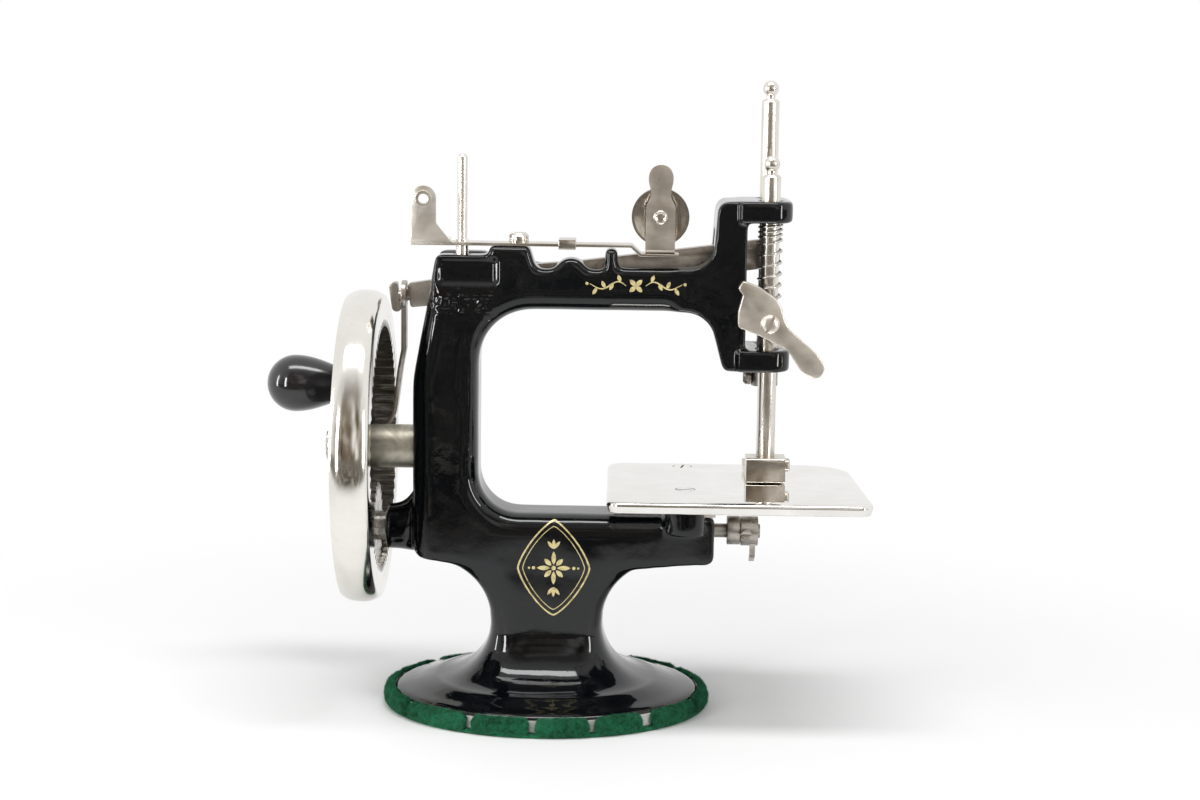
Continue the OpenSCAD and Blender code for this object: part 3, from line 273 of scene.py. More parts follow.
# Darker nickel for the tension discs and the presser foot: its dark tone is painted shade, for the dark
# reflections of the dished discs.
disc_nickel_painted_shade = nickel_look("nickel_disc_painted_shade", (0.52, 0.475, 0.415), (0.74, 0.69, 0.62), 0.12, 0.24,
                          (1, 1, 1), 0.14)
dull_steel = steel_look("steel_dull", (0.15, 0.135, 0.11), (0.4, 0.375, 0.335), 0.3, 0.5)
stud_steel = steel_look("steel_stud", (0.36, 0.33, 0.26), (0.62, 0.585, 0.49), 0.4, 0.56)
lever_steel = steel_look("steel_lever", (0.3, 0.27, 0.23), (0.52, 0.485, 0.44), 0.26, 0.42)
spring_steel = steel_look("steel_spring", (0.42, 0.4, 0.37), (0.68, 0.66, 0.62), 0.14, 0.26)
gear_steel = steel_look("steel_gear", (0.12, 0.11, 0.098), (0.52, 0.5, 0.46), 0.2, 0.36)
wheel_black = wheel_look()
knob_black = knob_look()
felt_green = felt_look("felt_green", (0.002, 0.05, 0.018), (0.018, 0.21, 0.09))
# The loose fibres are a lighter green than the felt: painted sheen of fibres catching the light.
fuzz_green_painted_sheen = felt_look("felt_fuzz", (0.006, 0.11, 0.045), (0.05, 0.32, 0.16))
card = card_look()
gold = gold_look()


# Shapes

def linked(name, data):
    """A new object in the scene."""
    made = bpy.data.objects.new(name, data)
    scene.collection.objects.link(made)
    return made


def add_piece(name, mesh, material, body, slot, *stands_for):
    """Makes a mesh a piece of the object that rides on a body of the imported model."""
    made = linked(name, mesh)
    mesh.materials.append(material)
    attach(made, body)
    if stands_for:
        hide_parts(*stands_for)
    return made


def node_body(name):
    """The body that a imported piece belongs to."""
    return next(body for body, held in frame["record"]["behaviour"]["bodies"].items() if name in held)


def mesh_of(name, points, faces, smooth=True):
    """A mesh from points and faces."""
    mesh = bpy.data.meshes.new(name)
    mesh.from_pydata([Vector(p) * MM for p in points], [], faces)
    mesh.validate()
    made = bmesh.new()
    made.from_mesh(mesh)
    bmesh.ops.recalc_face_normals(made, faces=made.faces)
    made.to_mesh(mesh)
    made.free()
    if smooth:
        mesh.shade_smooth()
    return mesh


def modify(holder, *modifiers):
    """Adds modifiers to an object, given as (kind, settings)."""
    for kind, settings in modifiers:
        made = holder.modifiers.new(kind, kind)
        for key, value in settings.items():
            setattr(made, key, value)


def applied(name, mesh, *modifiers, share=None):
    """The mesh after modifiers; share(x, y, z) weighs each point in the group called soft."""
    holder = linked(name, mesh)
    if share:
        group = holder.vertex_groups.new(name="soft")
        for vertex in mesh.vertices:
            weight = share(*(vertex.co / MM))
            if weight > 0:
                group.add([vertex.index], weight, "REPLACE")
    modify(holder, *modifiers)
    ready = holder.evaluated_get(bpy.context.evaluated_depsgraph_get())
    result = bpy.data.meshes.new_from_object(ready)
    bpy.data.objects.remove(holder)
    result.name = name
    result.materials.clear()
    return result


def joined_rings(rings, closed=False):
    """Points and faces of a skin over rings of equal length; closed joins the last ring to the first."""
    size = len(rings[0])
    points = [p for ring in rings for p in ring]
    faces = []
    for r in range(len(rings) if closed else len(rings) - 1):
        here = r * size
        there = (r + 1) % len(rings) * size
        for i in range(size):
            j = (i + 1) % size
            faces.append((here + i, here + j, there + j, there + i))
    if not closed:
        faces.append(tuple(range(size - 1, -1, -1)))
        faces.append(tuple(range(len(points) - size, len(points))))
    return points, faces


def merged(skins):
    """Points and faces of several skins as one."""
    points, faces = [], []
    for more, skin in skins:
        faces += [tuple(k + len(points) for k in face) for face in skin]
        points += more
    return points, faces


def sharpen(mesh, degrees):
    mesh.shade_smooth()
    mesh.set_sharp_from_angle(angle=math.radians(degrees))


def cut(name, mesh, cutter_mesh, crisp):
    """The mesh with another cut out of it, its edges sharper than crisp degrees kept."""
    cutter = linked(cutter_mesh.name, cutter_mesh)
    boolean = {"operation": "DIFFERENCE", "object": cutter, "solver": "EXACT"}
    result = applied(name, mesh, ("BOOLEAN", boolean))
    bpy.data.objects.remove(cutter)
    sharpen(result, crisp)
    return result


def bevel(width, segments):
    """A modifier that eases edges sharper than 40 degrees."""
    return ("BEVEL", {"limit_method": "ANGLE", "angle_limit": math.radians(40), "width": width * MM,
                      "segments": segments})


def eased(name, mesh, width):
    """The mesh with its sharp edges eased by a small bevel."""
    result = applied(name, mesh, ("WELD", {"merge_threshold": 2e-5}), bevel(width, 3))
    sharpen(result, 35)
    return result


def circle(radius, steps):
    turns = [2 * math.pi * i / steps for i in range(steps)]
    return [(radius * math.cos(t), radius * math.sin(t)) for t in turns]


def turned(points, degrees):
    """Points turned about the origin."""
    c, s = math.cos(math.radians(degrees)), math.sin(math.radians(degrees))
    return [(u * c - v * s, u * s + v * c) for u, v in points]


def about(axis, first, second):
    """A call that puts a point u and v away from a line along an axis, and w along it."""
    def place(u, v, w):
        spot = [first + u, second + v]
        spot.insert("XYZ".index(axis), w)
        return tuple(spot)
    return place


def lathe(name, profile, place, steps, crisp, *fit):
    """A piece turned from a closed profile of (radius, distance along) points; fit goes to add_piece."""
    rings = [[place(r * c, r * s, w) for r, w in profile] for c, s in circle(1, steps)]
    mesh = mesh_of(name, *joined_rings(rings, closed=True))
    sharpen(mesh, crisp)
    return add_piece(name, mesh, *fit)


def slotted(name, profile, slot, depths, heads, steps, crisp, *fit):
    """A piece of screws: slot is half its length and width, heads are (place, slot's turn in degrees)."""
    half_long, half_wide = slot
    corners = [(half_long * a, half_wide * b) for a, b in ((-1, -1), (1, -1), (1, 1), (-1, 1))]
    screws, slots = [], []
    for place, turn in heads:
        screws.append(joined_rings([[place(u, v, w) for u, v in circle(r, steps)] for r, w in profile]))
        slots.append(joined_rings([[place(u, v, w) for u, v in turned(corners, turn)] for w in depths]))
    cutter = mesh_of(name + "_slots", *merged(slots), smooth=False)
    return add_piece(name, cut(name, mesh_of(name, *merged(screws)), cutter, crisp), *fit)


def arc(u, v, radius, start, stop, steps):
    """Points on an arc about (u, v), with angles in degrees from the first direction to the second."""
    turns = [math.radians(start + (stop - start) * i / steps) for i in range(steps + 1)]
    return [(u + radius * math.cos(t), v + radius * math.sin(t)) for t in turns]


def tube(name, path, radius, sides):
    """A round wire along a path."""
    rings = []
    side = Vector((0, 0, 1))
    for i, point in enumerate(path):
        here = Vector(point)
        ahead = Vector(path[min(i + 1, len(path) - 1)]) - Vector(path[max(i - 1, 0)])
        ahead.normalize()
        side = (side - ahead * side.dot(ahead)).normalized()
        other = ahead.cross(side)
        rings.append([here + (side * c + other * s) * radius for c, s in circle(1, sides)])
    return mesh_of(name, *joined_rings(rings))


def rounded_outline(corners, steps=12):
    """A closed outline from (u, v, radius) corners, each corner as an arc."""
    outline = []
    for i, (u, v, r) in enumerate(corners):
        here = Vector((u, v))
        back = (Vector(corners[i - 1][:2]) - here).normalized()
        ahead = (Vector(corners[(i + 1) % len(corners)][:2]) - here).normalized()
        half = back.angle(ahead) / 2
        centre = here + (back + ahead).normalized() * r / math.sin(half)
        first = here + back * r / math.tan(half) - centre
        last = here + ahead * r / math.tan(half) - centre
        start = math.atan2(first.y, first.x)
        sweep = (math.atan2(last.y, last.x) - start + math.pi) % (2 * math.pi) - math.pi
        turns = [start + sweep * k / steps for k in range(steps + 1)]
        outline += [(centre.x + r * math.cos(t), centre.y + r * math.sin(t)) for t in turns]
    return outline


def step_up(value, low, high):
    """Rises smoothly from 0 at low to 1 at high."""
    t = min(1.0, max(0.0, (value - low) / (high - low)))
    return t * t * (3 - 2 * t)


def inside(value, low, high, soft):
    """1 between low and high, with soft edges."""
    return step_up(value, low - soft, low + soft) * (1 - step_up(value, high - soft, high + soft))


# Body casting

FRAME_FACE = 10.5
BED_UNDERSIDE_TOP = 48
SHAFT_Z = 48.4
BOSS_LEFT, BOSS_ROOT = -43.4, -34.5
BOSS_R = 6.1
SHAFT_BORE_R = 2.0


def frame_share(x, _, z):
    """How far the casting is smoothed: fully on column, throat, bed and pedestal, less on arm and head."""
    frame_part = inside(x, -37, 40.5, 1.5) * inside(z, 27, 117.5, 2.5)
    shaft_boss = 0.8 * inside(x, -46, -36, 1) * inside(z, 46, 66, 2)
    arm_top = 0.4 * inside(x, -37, 41, 1.5) * step_up(z, 116, 119)
    head = 0.22 * step_up(x, 39, 42) * step_up(z, 88, 92)
    return max(frame_part, shaft_boss, arm_top, head)


def side_walls(mesh):
    """The slab's walls that reach its near face, but not the bed's underside, to measure edges from."""
    near = FRAME_FACE - 0.1
    walls = []
    for face in mesh.polygons:
        under_bed = abs(face.normal.z) > 0.6 and face.center.z / MM < BED_UNDERSIDE_TOP
        front = min(mesh.vertices[i].co.y for i in face.vertices) / MM
        if abs(face.normal.y) < 0.1 and not under_bed and -near - 1 < front < -near:
            walls.append(face.vertices)
    return BVHTree.FromPolygons([vertex.co.copy() for vertex in mesh.vertices], walls)


def round_edges(mesh, walls):
    """Draws the slab's faces in towards its edges, so that the edges turn over in a quarter circle."""
    for vertex in mesh.vertices:
        x, _, z = vertex.co / MM
        radius = (1.2 + 2.8 * (1 - step_up(z, 111, 117))) * inside(x, -37, 33, 1.2) * step_up(z, 22, 34)
        radius *= 1 - inside(z, 40, 46.5, 3) * inside(x, -30, 33, 5)
        if radius < 0.05:
            continue
        gap = walls.find_nearest(Vector((x, -FRAME_FACE + 0.05, z)) * MM, radius * MM)[3]
        if gap is None:
            continue
        short = radius - min(gap / MM, radius)
        vertex.co.y *= 1 - (radius - math.sqrt(max(0.0, radius * radius - short * short))) / FRAME_FACE


def boss_fillet():
    """Ring that widens from the boss of the lower shaft to the column, most of all upwards."""
    bore = circle(SHAFT_BORE_R, 48)
    rings = [[(x, u, SHAFT_Z + v) for u, v in bore] for x in (BOSS_ROOT, BOSS_LEFT)]
    for k in range(13):
        share = k / 12
        low = SHAFT_Z - BOSS_R - 1.1 * share ** 2
        high = SHAFT_Z + BOSS_R + 8.5 * share ** 3
        middle, half = (low + high) / 2, (high - low) / 2
        x = BOSS_LEFT + (BOSS_ROOT - BOSS_LEFT) * share
        rings.append([(x, (BOSS_R + 3.2 * share ** 2) * c, middle + half * s) for c, s in circle(1, 48)])
    return mesh_of("boss_fillet", *joined_rings(rings, closed=True))


def joined(first, second):
    """One mesh that holds both."""
    made = bmesh.new()
    made.from_mesh(first)
    made.from_mesh(second)
    result = bpy.data.meshes.new(first.name)
    made.to_mesh(result)
    made.free()
    return result


def cast_body():
    """The casting with soft edges, a fillet at the shaft's boss, a shallow panel and the marks of sand."""
    source = nodes["body_casting"].data.copy()
    source.materials.clear()
    mesh = applied("body_cast", joined(source, boss_fillet()),
                   ("WELD", {"merge_threshold": 1e-6}),
                   ("REMESH", {"mode": "VOXEL", "voxel_size": 0.5 * MM}))
    round_edges(mesh, side_walls(source))
    mesh = applied("body_cast", mesh, ("SMOOTH", {"factor": 0.5, "iterations": 12}))
    soften = {"factor": 0.5, "iterations": 40, "vertex_group": "soft"}
    mesh = applied("body_cast", mesh, ("SMOOTH", soften), share=frame_share)
    normals = [vertex.normal.copy() for vertex in mesh.vertices]
    for vertex, normal in zip(mesh.vertices, normals):
        x, y, z = vertex.co / MM
        push = normal * 0.07 * noise.noise(Vector((x, y, z)) * 0.11)
        if y < -8:
            panel = inside(x, -29.2, -13.9, 1.2) * inside(z, 115.6, 122.4, 1.2)
            push.y += 1.3 * panel
            rough = inside(x, -30, -14.5, 2.5) * inside(z, 107, 113.6, 1.6)
            grit = noise.noise(Vector((x * 0.8, 3.0, z * 1.1)))
            grit += 0.6 * noise.noise(Vector((x * 1.7, 7.0, z * 1.9)))
            push.y += 0.5 * rough * grit
        vertex.co += push * MM
    mesh.shade_smooth()
    return add_piece("body_cast", mesh, japan, "frame", "japan_black", "body_casting")


body = cast_body()
body_tree = BVHTree.FromPolygons([v.co.copy() for v in body.data.vertices],
                                 [p.vertices for p in body.data.polygons])


# Gold ornament on the near face

def leaf(centre, length, width, turn):
    """Outline of a pointed leaf."""
    half = [(length * t, width * math.sin(math.pi * t) ** 0.8) for t in [i / 8 for i in range(9)]]
    outline = half + [(u, -v) for u, v in half[-2:0:-1]]
    return [(centre[0] + u, centre[1] + v) for u, v in turned(outline, turn)]


def dot(centre, radius):
    return [(centre[0] + u, centre[1] + v) for u, v in circle(radius, 16)]


def stroke(path, width):
    """Quads along a line, thinner towards both of its ends."""
    edges = []
    for i, (u, v) in enumerate(path):
        a, b = path[max(i - 1, 0)], path[min(i + 1, len(path) - 1)]
        du, dv = b[0] - a[0], b[1] - a[1]
        size = math.hypot(du, dv)
        taper = width / 2 * (0.35 + 0.65 * math.sin(math.pi * i / (len(path) - 1)))
        across, down = dv / size * taper, du / size * taper
        edges.append(((u - across, v + down), (u + across, v - down)))
    return [[a, b, d, c] for (a, b), (c, d) in zip(edges, edges[1:])]


def ring_stroke(centre, half_w, half_h, power, width):
    """A closed line round a rounded lozenge."""
    def point(turn, grow):
        c, s = math.cos(turn), math.sin(turn)
        return (centre[0] + (half_w + grow) * math.copysign(abs(c) ** power, c),
                centre[1] + (half_h + grow) * math.copysign(abs(s) ** power, s))
    turns = [2 * math.pi * i / 96 for i in range(97)]
    return [[point(a, -width / 2), point(a, width / 2), point(b, width / 2), point(b, -width / 2)]
            for a, b in zip(turns, turns[1:])]


def painted(name, outlines):
    """Flat outlines in X and Z laid on the near face of the body, a hair above it."""
    points, faces = [], []
    for outline in outlines:
        start = len(points)
        for x, z in outline:
            hit = body_tree.ray_cast(Vector((x * MM, -0.05, z * MM)), Vector((0, 1, 0)))[0]
            points.append((x, hit.y / MM - 0.03, z))
        faces.append(tuple(range(start, len(points))))
    return add_piece(name, mesh_of(name, points, faces), gold, "frame", "japan_black")


def arm_scroll(middle, height):
    """A wavy stem with leaves either side of a small flower."""
    shapes = [dot((middle, height), 0.55)]
    shapes += [leaf((middle, height), 2.3, 0.62, 90 * i + 45) for i in range(4)]
    for side in (-1, 1):
        stem = [(middle + side * (2.6 + 9.6 * t),
                 height + 1.15 * math.sin(2.2 * math.pi * t) * (1 - 0.35 * t))
                for t in [i / 40 for i in range(41)]]
        shapes += stroke(stem, 0.42)
        for spot, lean in ((0.14, 70), (0.36, -62), (0.58, 66), (0.8, -60)):
            shapes.append(leaf(stem[round(spot * 40)], 2.1, 0.5, lean if side > 0 else 180 - lean))
        shapes.append(dot((middle + side * 12.9, height + 0.5), 0.42))
    return shapes


def pillar_lozenge(middle, height):
    """A lozenge frame round an eight-leaf rosette, with a sprig above and below."""
    shapes = ring_stroke((middle, height), 9.6, 12.8, 1.5, 0.5)
    shapes += ring_stroke((middle, height), 8.3, 11.3, 1.5, 0.25)
    for i in range(8):
        turn = math.radians(45 * i)
        root = (middle + 0.9 * math.cos(turn), height + 0.9 * math.sin(turn))
        shapes.append(leaf(root, 3.6 if i % 2 == 0 else 2.6, 0.62, 45 * i))
    shapes.append(dot((middle, height), 0.6))
    for side in (-1, 1):
        for lean in (-38, 0, 38):
            shapes.append(leaf((middle, height + side * 5.2), 2.7, 0.45, side * 90 + lean))
        shapes.append(dot((middle + side * 5.4, height), 0.45))
        shapes.append(dot((middle + side * 6.6, height), 0.3))
    return shapes


painted("arm_ornament", arm_scroll(22.9, 115.8))
painted("pillar_ornament", pillar_lozenge(2.0, 39.6))


# Handwheel

WHEEL_Z = 70.4
RIM_LEFT, RIM_RIGHT = -54.6, -44.6
RIM_MIDDLE = (RIM_LEFT + RIM_RIGHT) / 2
RIM_INNER_R = 36.2
TREAD_R = 42.3
GEAR_LEFT = -50.8
GEAR_TEETH = 66
WEB_LEFT, WEB_RIGHT = -55.4, -53.0
HUB_BORE_R = 3.05
HANDLE_Y, HANDLE_Z = 23.964, 83.684
BOSS_FACE = -57.0
PIN_R = 1.7
KNOB_LEFT, KNOB_RIGHT = -79.7, -58.3
KNOB_R = 7.95
KNOB_NECK_R = 4.4
KNOB_BORE_R = 1.76
on_wheel = about("X", 0, WHEEL_Z)
on_handle = about("X", HANDLE_Y, HANDLE_Z)


def tread(steps):
    """Crowned tread from the left corner to the right one."""
    crown = []
    for i in range(steps + 1):
        side = -1 + 2 * i / steps
        radius = TREAD_R - 0.15 - 1.35 * abs(side) ** 2.6
        crown.append((radius, RIM_MIDDLE + side * (RIM_RIGHT - RIM_LEFT - 0.6) / 2))
    return crown


def wheel_rim():
    """Polished rim: crowned tread, flat right face and a rounded corner between them."""
    profile = tread(28)
    profile += arc(40.2, RIM_RIGHT - 0.5, 0.5, 40, 90, 4)
    profile += [(RIM_INNER_R, RIM_RIGHT), (RIM_INNER_R, GEAR_LEFT - 1.0), (36.8, WEB_LEFT + 2),
                (36.6, WEB_LEFT + 0.9)]
    return lathe("wheel_rim", profile, on_wheel, 256, 40, polished, "wheel", "nickel", "handwheel")


def wheel_web():
    """Black web with a raised hub and a dished inside."""
    profile = [(HUB_BORE_R, -57.9), (7.5, -57.9), (8.5, -57.0), (9.7, WEB_LEFT), (12, WEB_LEFT - 0.1),
               (31, WEB_LEFT + 0.05), (35.8, WEB_LEFT + 0.9), (36.7, WEB_LEFT + 1.0),
               (36.7, WEB_RIGHT + 1.2), (35.4, WEB_RIGHT + 0.5), (33.6, WEB_RIGHT), (9.4, WEB_RIGHT),
               (8.6, WEB_RIGHT + 0.1), (HUB_BORE_R, WEB_RIGHT + 0.1)]
    return lathe("wheel_web", profile, on_wheel, 192, 40, wheel_black, "wheel", "japan_black")


def ring_gear():
    """Ring of inside teeth with eased tips, set in the rim."""
    tooth = ((-0.5, 34.15), (-0.32, 34.1), (-0.24, 33.3), (-0.12, 32.4), (0.0, 32.27), (0.12, 32.4),
             (0.24, 33.3), (0.32, 34.1))
    back = RIM_INNER_R + 0.05
    inner = []
    for i in range(GEAR_TEETH):
        for share, radius in tooth:
            turn = 2 * math.pi * (i + 0.5 + share) / GEAR_TEETH - math.pi / 2
            inner.append((radius * math.cos(turn), radius * math.sin(turn)))
    outer = [(back * u / math.hypot(u, v), back * v / math.hypot(u, v)) for u, v in inner]
    right = RIM_RIGHT - 0.05
    rings = []
    for x, ring in ((right, outer), (right, inner), (GEAR_LEFT, inner), (GEAR_LEFT, outer)):
        rings.append([on_wheel(u, v, x) for u, v in ring])
    mesh = mesh_of("ring_gear", *joined_rings(rings, closed=True))
    sharpen(mesh, 30)
    return add_piece("ring_gear", mesh, polished, "wheel", "steel")


def handle_boss():
    """Round boss on the web where the handle's pin is riveted."""
    profile = [(1.75, BOSS_FACE), (4.1, BOSS_FACE), (4.5, -56.6), (4.7, -55.2), (1.75, -55.2)]
    return lathe("handle_boss", profile, on_handle, 64, 40, wheel_black, "wheel", "japan_black")


def handle_pin():
    """Shouldered pin that the knob turns on, its left end sunk in the knob."""
    profile = [(0.05, -78.2), (1.3, -78.2), (PIN_R, -77.8), (PIN_R, -58.15), (3.1, -58.15), (3.3, -57.95),
               (3.3, -57.05), (PIN_R + 0.02, BOSS_FACE), (PIN_R, -53.05), (0.05, -53.05)]
    return lathe("handle_pin", profile, on_handle, 48, 40, dull_steel, "wheel", "steel", "handle_stud")


def knob():
    """Egg-shaped knob with a full round end and a slim neck."""
    neck = KNOB_RIGHT - 0.3
    profile = [(KNOB_BORE_R, KNOB_RIGHT), (4.0, KNOB_RIGHT), (4.35, neck)]
    for i in range(1, 25):
        t = i / 24
        swell = math.sin(math.pi / 2 * t) ** 1.12
        x = neck - (neck - KNOB_LEFT - KNOB_R) * t
        profile.append((KNOB_NECK_R + (KNOB_R - KNOB_NECK_R) * swell, x))
    profile += [(max(0.05, r), x) for r, x in arc(0, KNOB_LEFT + KNOB_R, KNOB_R, 0, -90, 20)[1:]]
    profile += [(0.05, KNOB_LEFT + 0.8), (KNOB_BORE_R, KNOB_LEFT + 1.2)]
    return lathe("knob_turned", profile, on_handle, 96, 50, knob_black, "knob", "black_knob", "handle_knob")


def wheel_screw_flat():
    """Low slotted screw on the washer that holds the wheel on its stud."""
    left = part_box("wheel_washer")[0][0] / MM
    profile = [(1.5, left + 7), (1.5, left), (3.9, left), (3.95, left - 0.15), (3.95, left - 0.5),
               (3.7, left - 0.8), (2.8, left - 0.95), (1.0, left - 1.0)]
    return slotted("wheel_screw_flat", profile, (5, 0.5), (left - 0.45, left - 2), [(on_wheel, 25)], 64, 35,
                   strip_nickel, node_body("wheel_screw"), "nickel", "wheel_screw")


wheel_rim()
wheel_web()
ring_gear()
handle_boss()
handle_pin()
knob()
wheel_screw_flat()


# Cloth plate

HEAD_X = 58.2
NEEDLE_Y, PRESSER_Y = 6, -6
PLATE_TOP, PLATE_UNDER, PLATE_LIP = 63.3, 62.2, 60.3
ROLL_R = 0.9
FLAT_FROM = -4.2
SCREW_X = 36.6
SCREW_R = 2.5
# Y of each plate screw, and the turn of its slot in degrees
PLATE_SCREWS = ((-19.5, 20), (14.2, 80))


def plate_outline(grow, steps=10):
    """The plate's outline in X and Y, moved out by grow, with its corners as arcs."""
    corners = [(16 - grow, -38.5 - grow, 4), (84.6 + grow, -38.5 - grow, 4), (82.2 + grow, 20.5 + grow, 12),
               (16 - grow, 20.5 + grow, 5)]
    return rounded_outline([(x, y, max(0.3, r + grow)) for x, y, r in corners], steps)


def cloth_plate():
    """Polished plate with a rolled-over edge, a needle hole and two feed slots."""
    section = [(FLAT_FROM, PLATE_UNDER), (-2.4, PLATE_UNDER), (-1.3, 61.4)]
    section += [(-1.9, PLATE_LIP), (-0.66, PLATE_LIP), (-0.53, 60.42), (-0.22, 61.4)]
    section += arc(-ROLL_R, PLATE_UNDER, ROLL_R, -10, 70, 8)
    section += [(-1.3, 63.22), (-2.2, PLATE_TOP), (FLAT_FROM, PLATE_TOP)]
    rings = [[(x, y, z) for x, y in plate_outline(grow)] for grow, z in section]
    mesh = cut("plate_skin", mesh_of("plate_skin", *joined_rings(rings)), plate_cutters(), 25)
    return add_piece("plate_skin", mesh, plate_nickel, "frame", "nickel", "cloth_plate")


def plate_cutters():
    """Upright prisms for the needle hole, the feed slots and the screws."""
    holes = [(HEAD_X, NEEDLE_Y, 1.3)] + [(SCREW_X, y, SCREW_R + 0.17) for y, _ in PLATE_SCREWS]
    prisms = [[(x + u, y + v) for u, v in circle(r, 40)] for x, y, r in holes]
    for x in (55.2, 61.2):
        prisms.append(arc(x, 10.9, 1.3, 0, 180, 12) + arc(x, -0.5, 1.3, 180, 360, 12))
    skins = [joined_rings([[(x, y, z) for x, y in outline] for z in (58, 66)]) for outline in prisms]
    return mesh_of("plate_cutters", *merged(skins), smooth=False)


def plate_screw_heads():
    """Two sunk screws, their flat slotted heads level with the plate."""
    profile = [(1.2, 56.0), (1.2, 61.6), (SCREW_R - 0.15, 62.4), (SCREW_R, 62.9), (SCREW_R, 63.22),
               (SCREW_R - 0.12, 63.32)]
    heads = [(about("Z", SCREW_X, y), turn) for y, turn in PLATE_SCREWS]
    return slotted("plate_screw_heads", profile, (3, 0.28), (62.85, 64), heads, 48, 30,
                   plate_nickel, "frame", "nickel", "plate_screws")


cloth_plate()
plate_screw_heads()


# Presser spring

COIL_R, WIRE_R = 3.02, 0.33
COIL_BOTTOM = 110.28
OPEN_TURNS, CLOSE_TURNS = 6, 3
OPEN_PITCH, CLOSE_PITCH = 2.9867, 1.3


def spring_wire():
    """Open turns below and close ones above, as fine round wire."""
    path = []
    steps = 40
    for i in range((OPEN_TURNS + CLOSE_TURNS) * steps + 1):
        turn = i / steps
        angle = 2 * math.pi * turn
        z = COIL_BOTTOM + OPEN_PITCH * min(turn, OPEN_TURNS) + CLOSE_PITCH * max(0, turn - OPEN_TURNS)
        path.append((HEAD_X + COIL_R * math.cos(angle), PRESSER_Y + COIL_R * math.sin(angle), z))
    mesh = tube("spring_wire", path, WIRE_R, 10)
    made = add_piece("spring_wire", mesh, spring_steel, "frame", "steel", "presser_spring")
    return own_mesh(made)


spring_wire()


# Tension leaf and lifter

TENSION_X, TENSION_Z = 29.1, 133.8
LEAF_Y, TAB_Y = -8.5, -2.5
LEAF_TOP = 13.7
BEND_Z, BEND_R = 125.4, 0.8
LEAF_HALF = 3.9
LIFTER_Z = 106.4
LIFTER_NEAR, LIFTER_FAR = -12.95, -10.85
LIFTER_CORNERS = ((-8.6, 9.2, 1.2), (-7.2, 11.4, 1), (-3, 9.8, 6), (2.4, 6, 6), (4.4, -0.6, 8),
                  (12.4, -7.5, 5), (15.1, -11.2, 2.2), (13.3, -14.8, 2.0), (8.8, -12.8, 5),
                  (4.8, -6.8, 6), (-2.4, -3.2, 8), (-8.4, -0.9, 1.2), (-8.4, 3, 6), (-7.2, 7.6, 1))


def leaf_half_width(z):
    """Half the front leaf's width: broad below, a short neck, and an oval head."""
    rise = z - TENSION_Z
    if rise > 10:
        return max(0.05, 3.26 * max(0.0, 1 - ((rise - 10) / 3.7) ** 2.2) ** (1 / 2.2))
    return LEAF_HALF - 1.25 * step_up(rise, 2.3, 5.9) + 0.61 * step_up(rise, 6.2, 10)


def tension_leaf():
    """One bent strip: a bottle-shaped leaf in front, a foot on the thread strip, a short tab behind."""
    heights = [TENSION_Z + LEAF_TOP - 7.35 * (i / 40) ** 2 for i in range(41)]
    heights += [TENSION_Z + 6.35 - 14.75 * i / 40 for i in range(1, 41)]
    path = [(LEAF_Y, z, leaf_half_width(z)) for z in heights]
    path += [(y, z, LEAF_HALF) for y, z in arc(LEAF_Y + BEND_R, BEND_Z, BEND_R, 180, 270, 6)[1:]]
    path += [(y, z, 3.6) for y, z in arc(TAB_Y - BEND_R, BEND_Z, BEND_R, 270, 360, 6)]
    for i in range(1, 31):
        z = BEND_Z + (TENSION_Z + 3.35 - BEND_Z) * (1 - (1 - i / 30) ** 2)
        over = max(0.0, z - TENSION_Z - 0.35)
        path.append((TAB_Y, z, 0.2 + math.sqrt(max(0.0, 9 - over * over))))
    points = []
    for y, z, half in path:
        points += [(TENSION_X - half, y, z), (TENSION_X + half, y, z)]
    faces = [(2 * i, 2 * i + 1, 2 * i + 3, 2 * i + 2) for i in range(len(path) - 1)]
    sheet = applied("tension_leaf", mesh_of("tension_leaf", points, faces),
                    ("SOLIDIFY", {"thickness": 0.8 * MM, "offset": 0}))
    mesh = eased("tension_leaf", sheet, 0.16)
    return add_piece("tension_leaf", mesh, satin, "frame", "nickel", "tension_bracket")


def tension_rivet():
    """Hollow rivet that holds the discs between the leaf and the tab."""
    profile = [(0.75, -9.2), (0.95, -9.75), (1.35, -9.95), (1.7, -9.8), (1.9, -9.45), (1.9, -8.95),
               (1.1, -8.9), (1.1, -2.0), (1.5, -2.0), (1.5, -1.7), (0.75, -1.6)]
    return lathe("tension_rivet", profile, about("Y", TENSION_X, TENSION_Z), 64, 40,
                 strip_nickel, "frame", "nickel", "tension_pin")


def lifter_leaf():
    """Stamped lifter with rounded edges."""
    outline = rounded_outline(LIFTER_CORNERS)
    rings = [[(HEAD_X + u, y, LIFTER_Z + v) for u, v in outline] for y in (LIFTER_NEAR, LIFTER_FAR)]
    mesh = eased("lifter_leaf", mesh_of("lifter_leaf", *joined_rings(rings)), 0.3)
    return add_piece("lifter_leaf", mesh, satin, "lifter", "nickel", "lifter")


def lifter_screw_head():
    """Domed slotted screw that the lifter turns on."""
    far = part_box("lifter_screw")[1][1] / MM
    seat = LIFTER_NEAR - 0.1
    profile = [(1.3, far), (1.3, seat), (2.5, seat), (2.55, -13.3), (2.45, -13.8), (2.0, -14.3),
               (1.2, -14.55), (0.4, -14.62)]
    heads = [(about("Y", HEAD_X, LIFTER_Z), 66)]
    return slotted("lifter_screw_head", profile, (4, 0.36), (-13.75, -16), heads, 64, 35,
                   satin, node_body("lifter_screw"), "nickel", "lifter_screw")


tension_leaf()
tension_rivet()
lifter_leaf()
lifter_screw_head()


# Felt pad

BASE_HALF_W, BASE_HALF_D = 41.5, 34.0
FLOOR_HALF_W, FLOOR_HALF_D = 44, 36.5
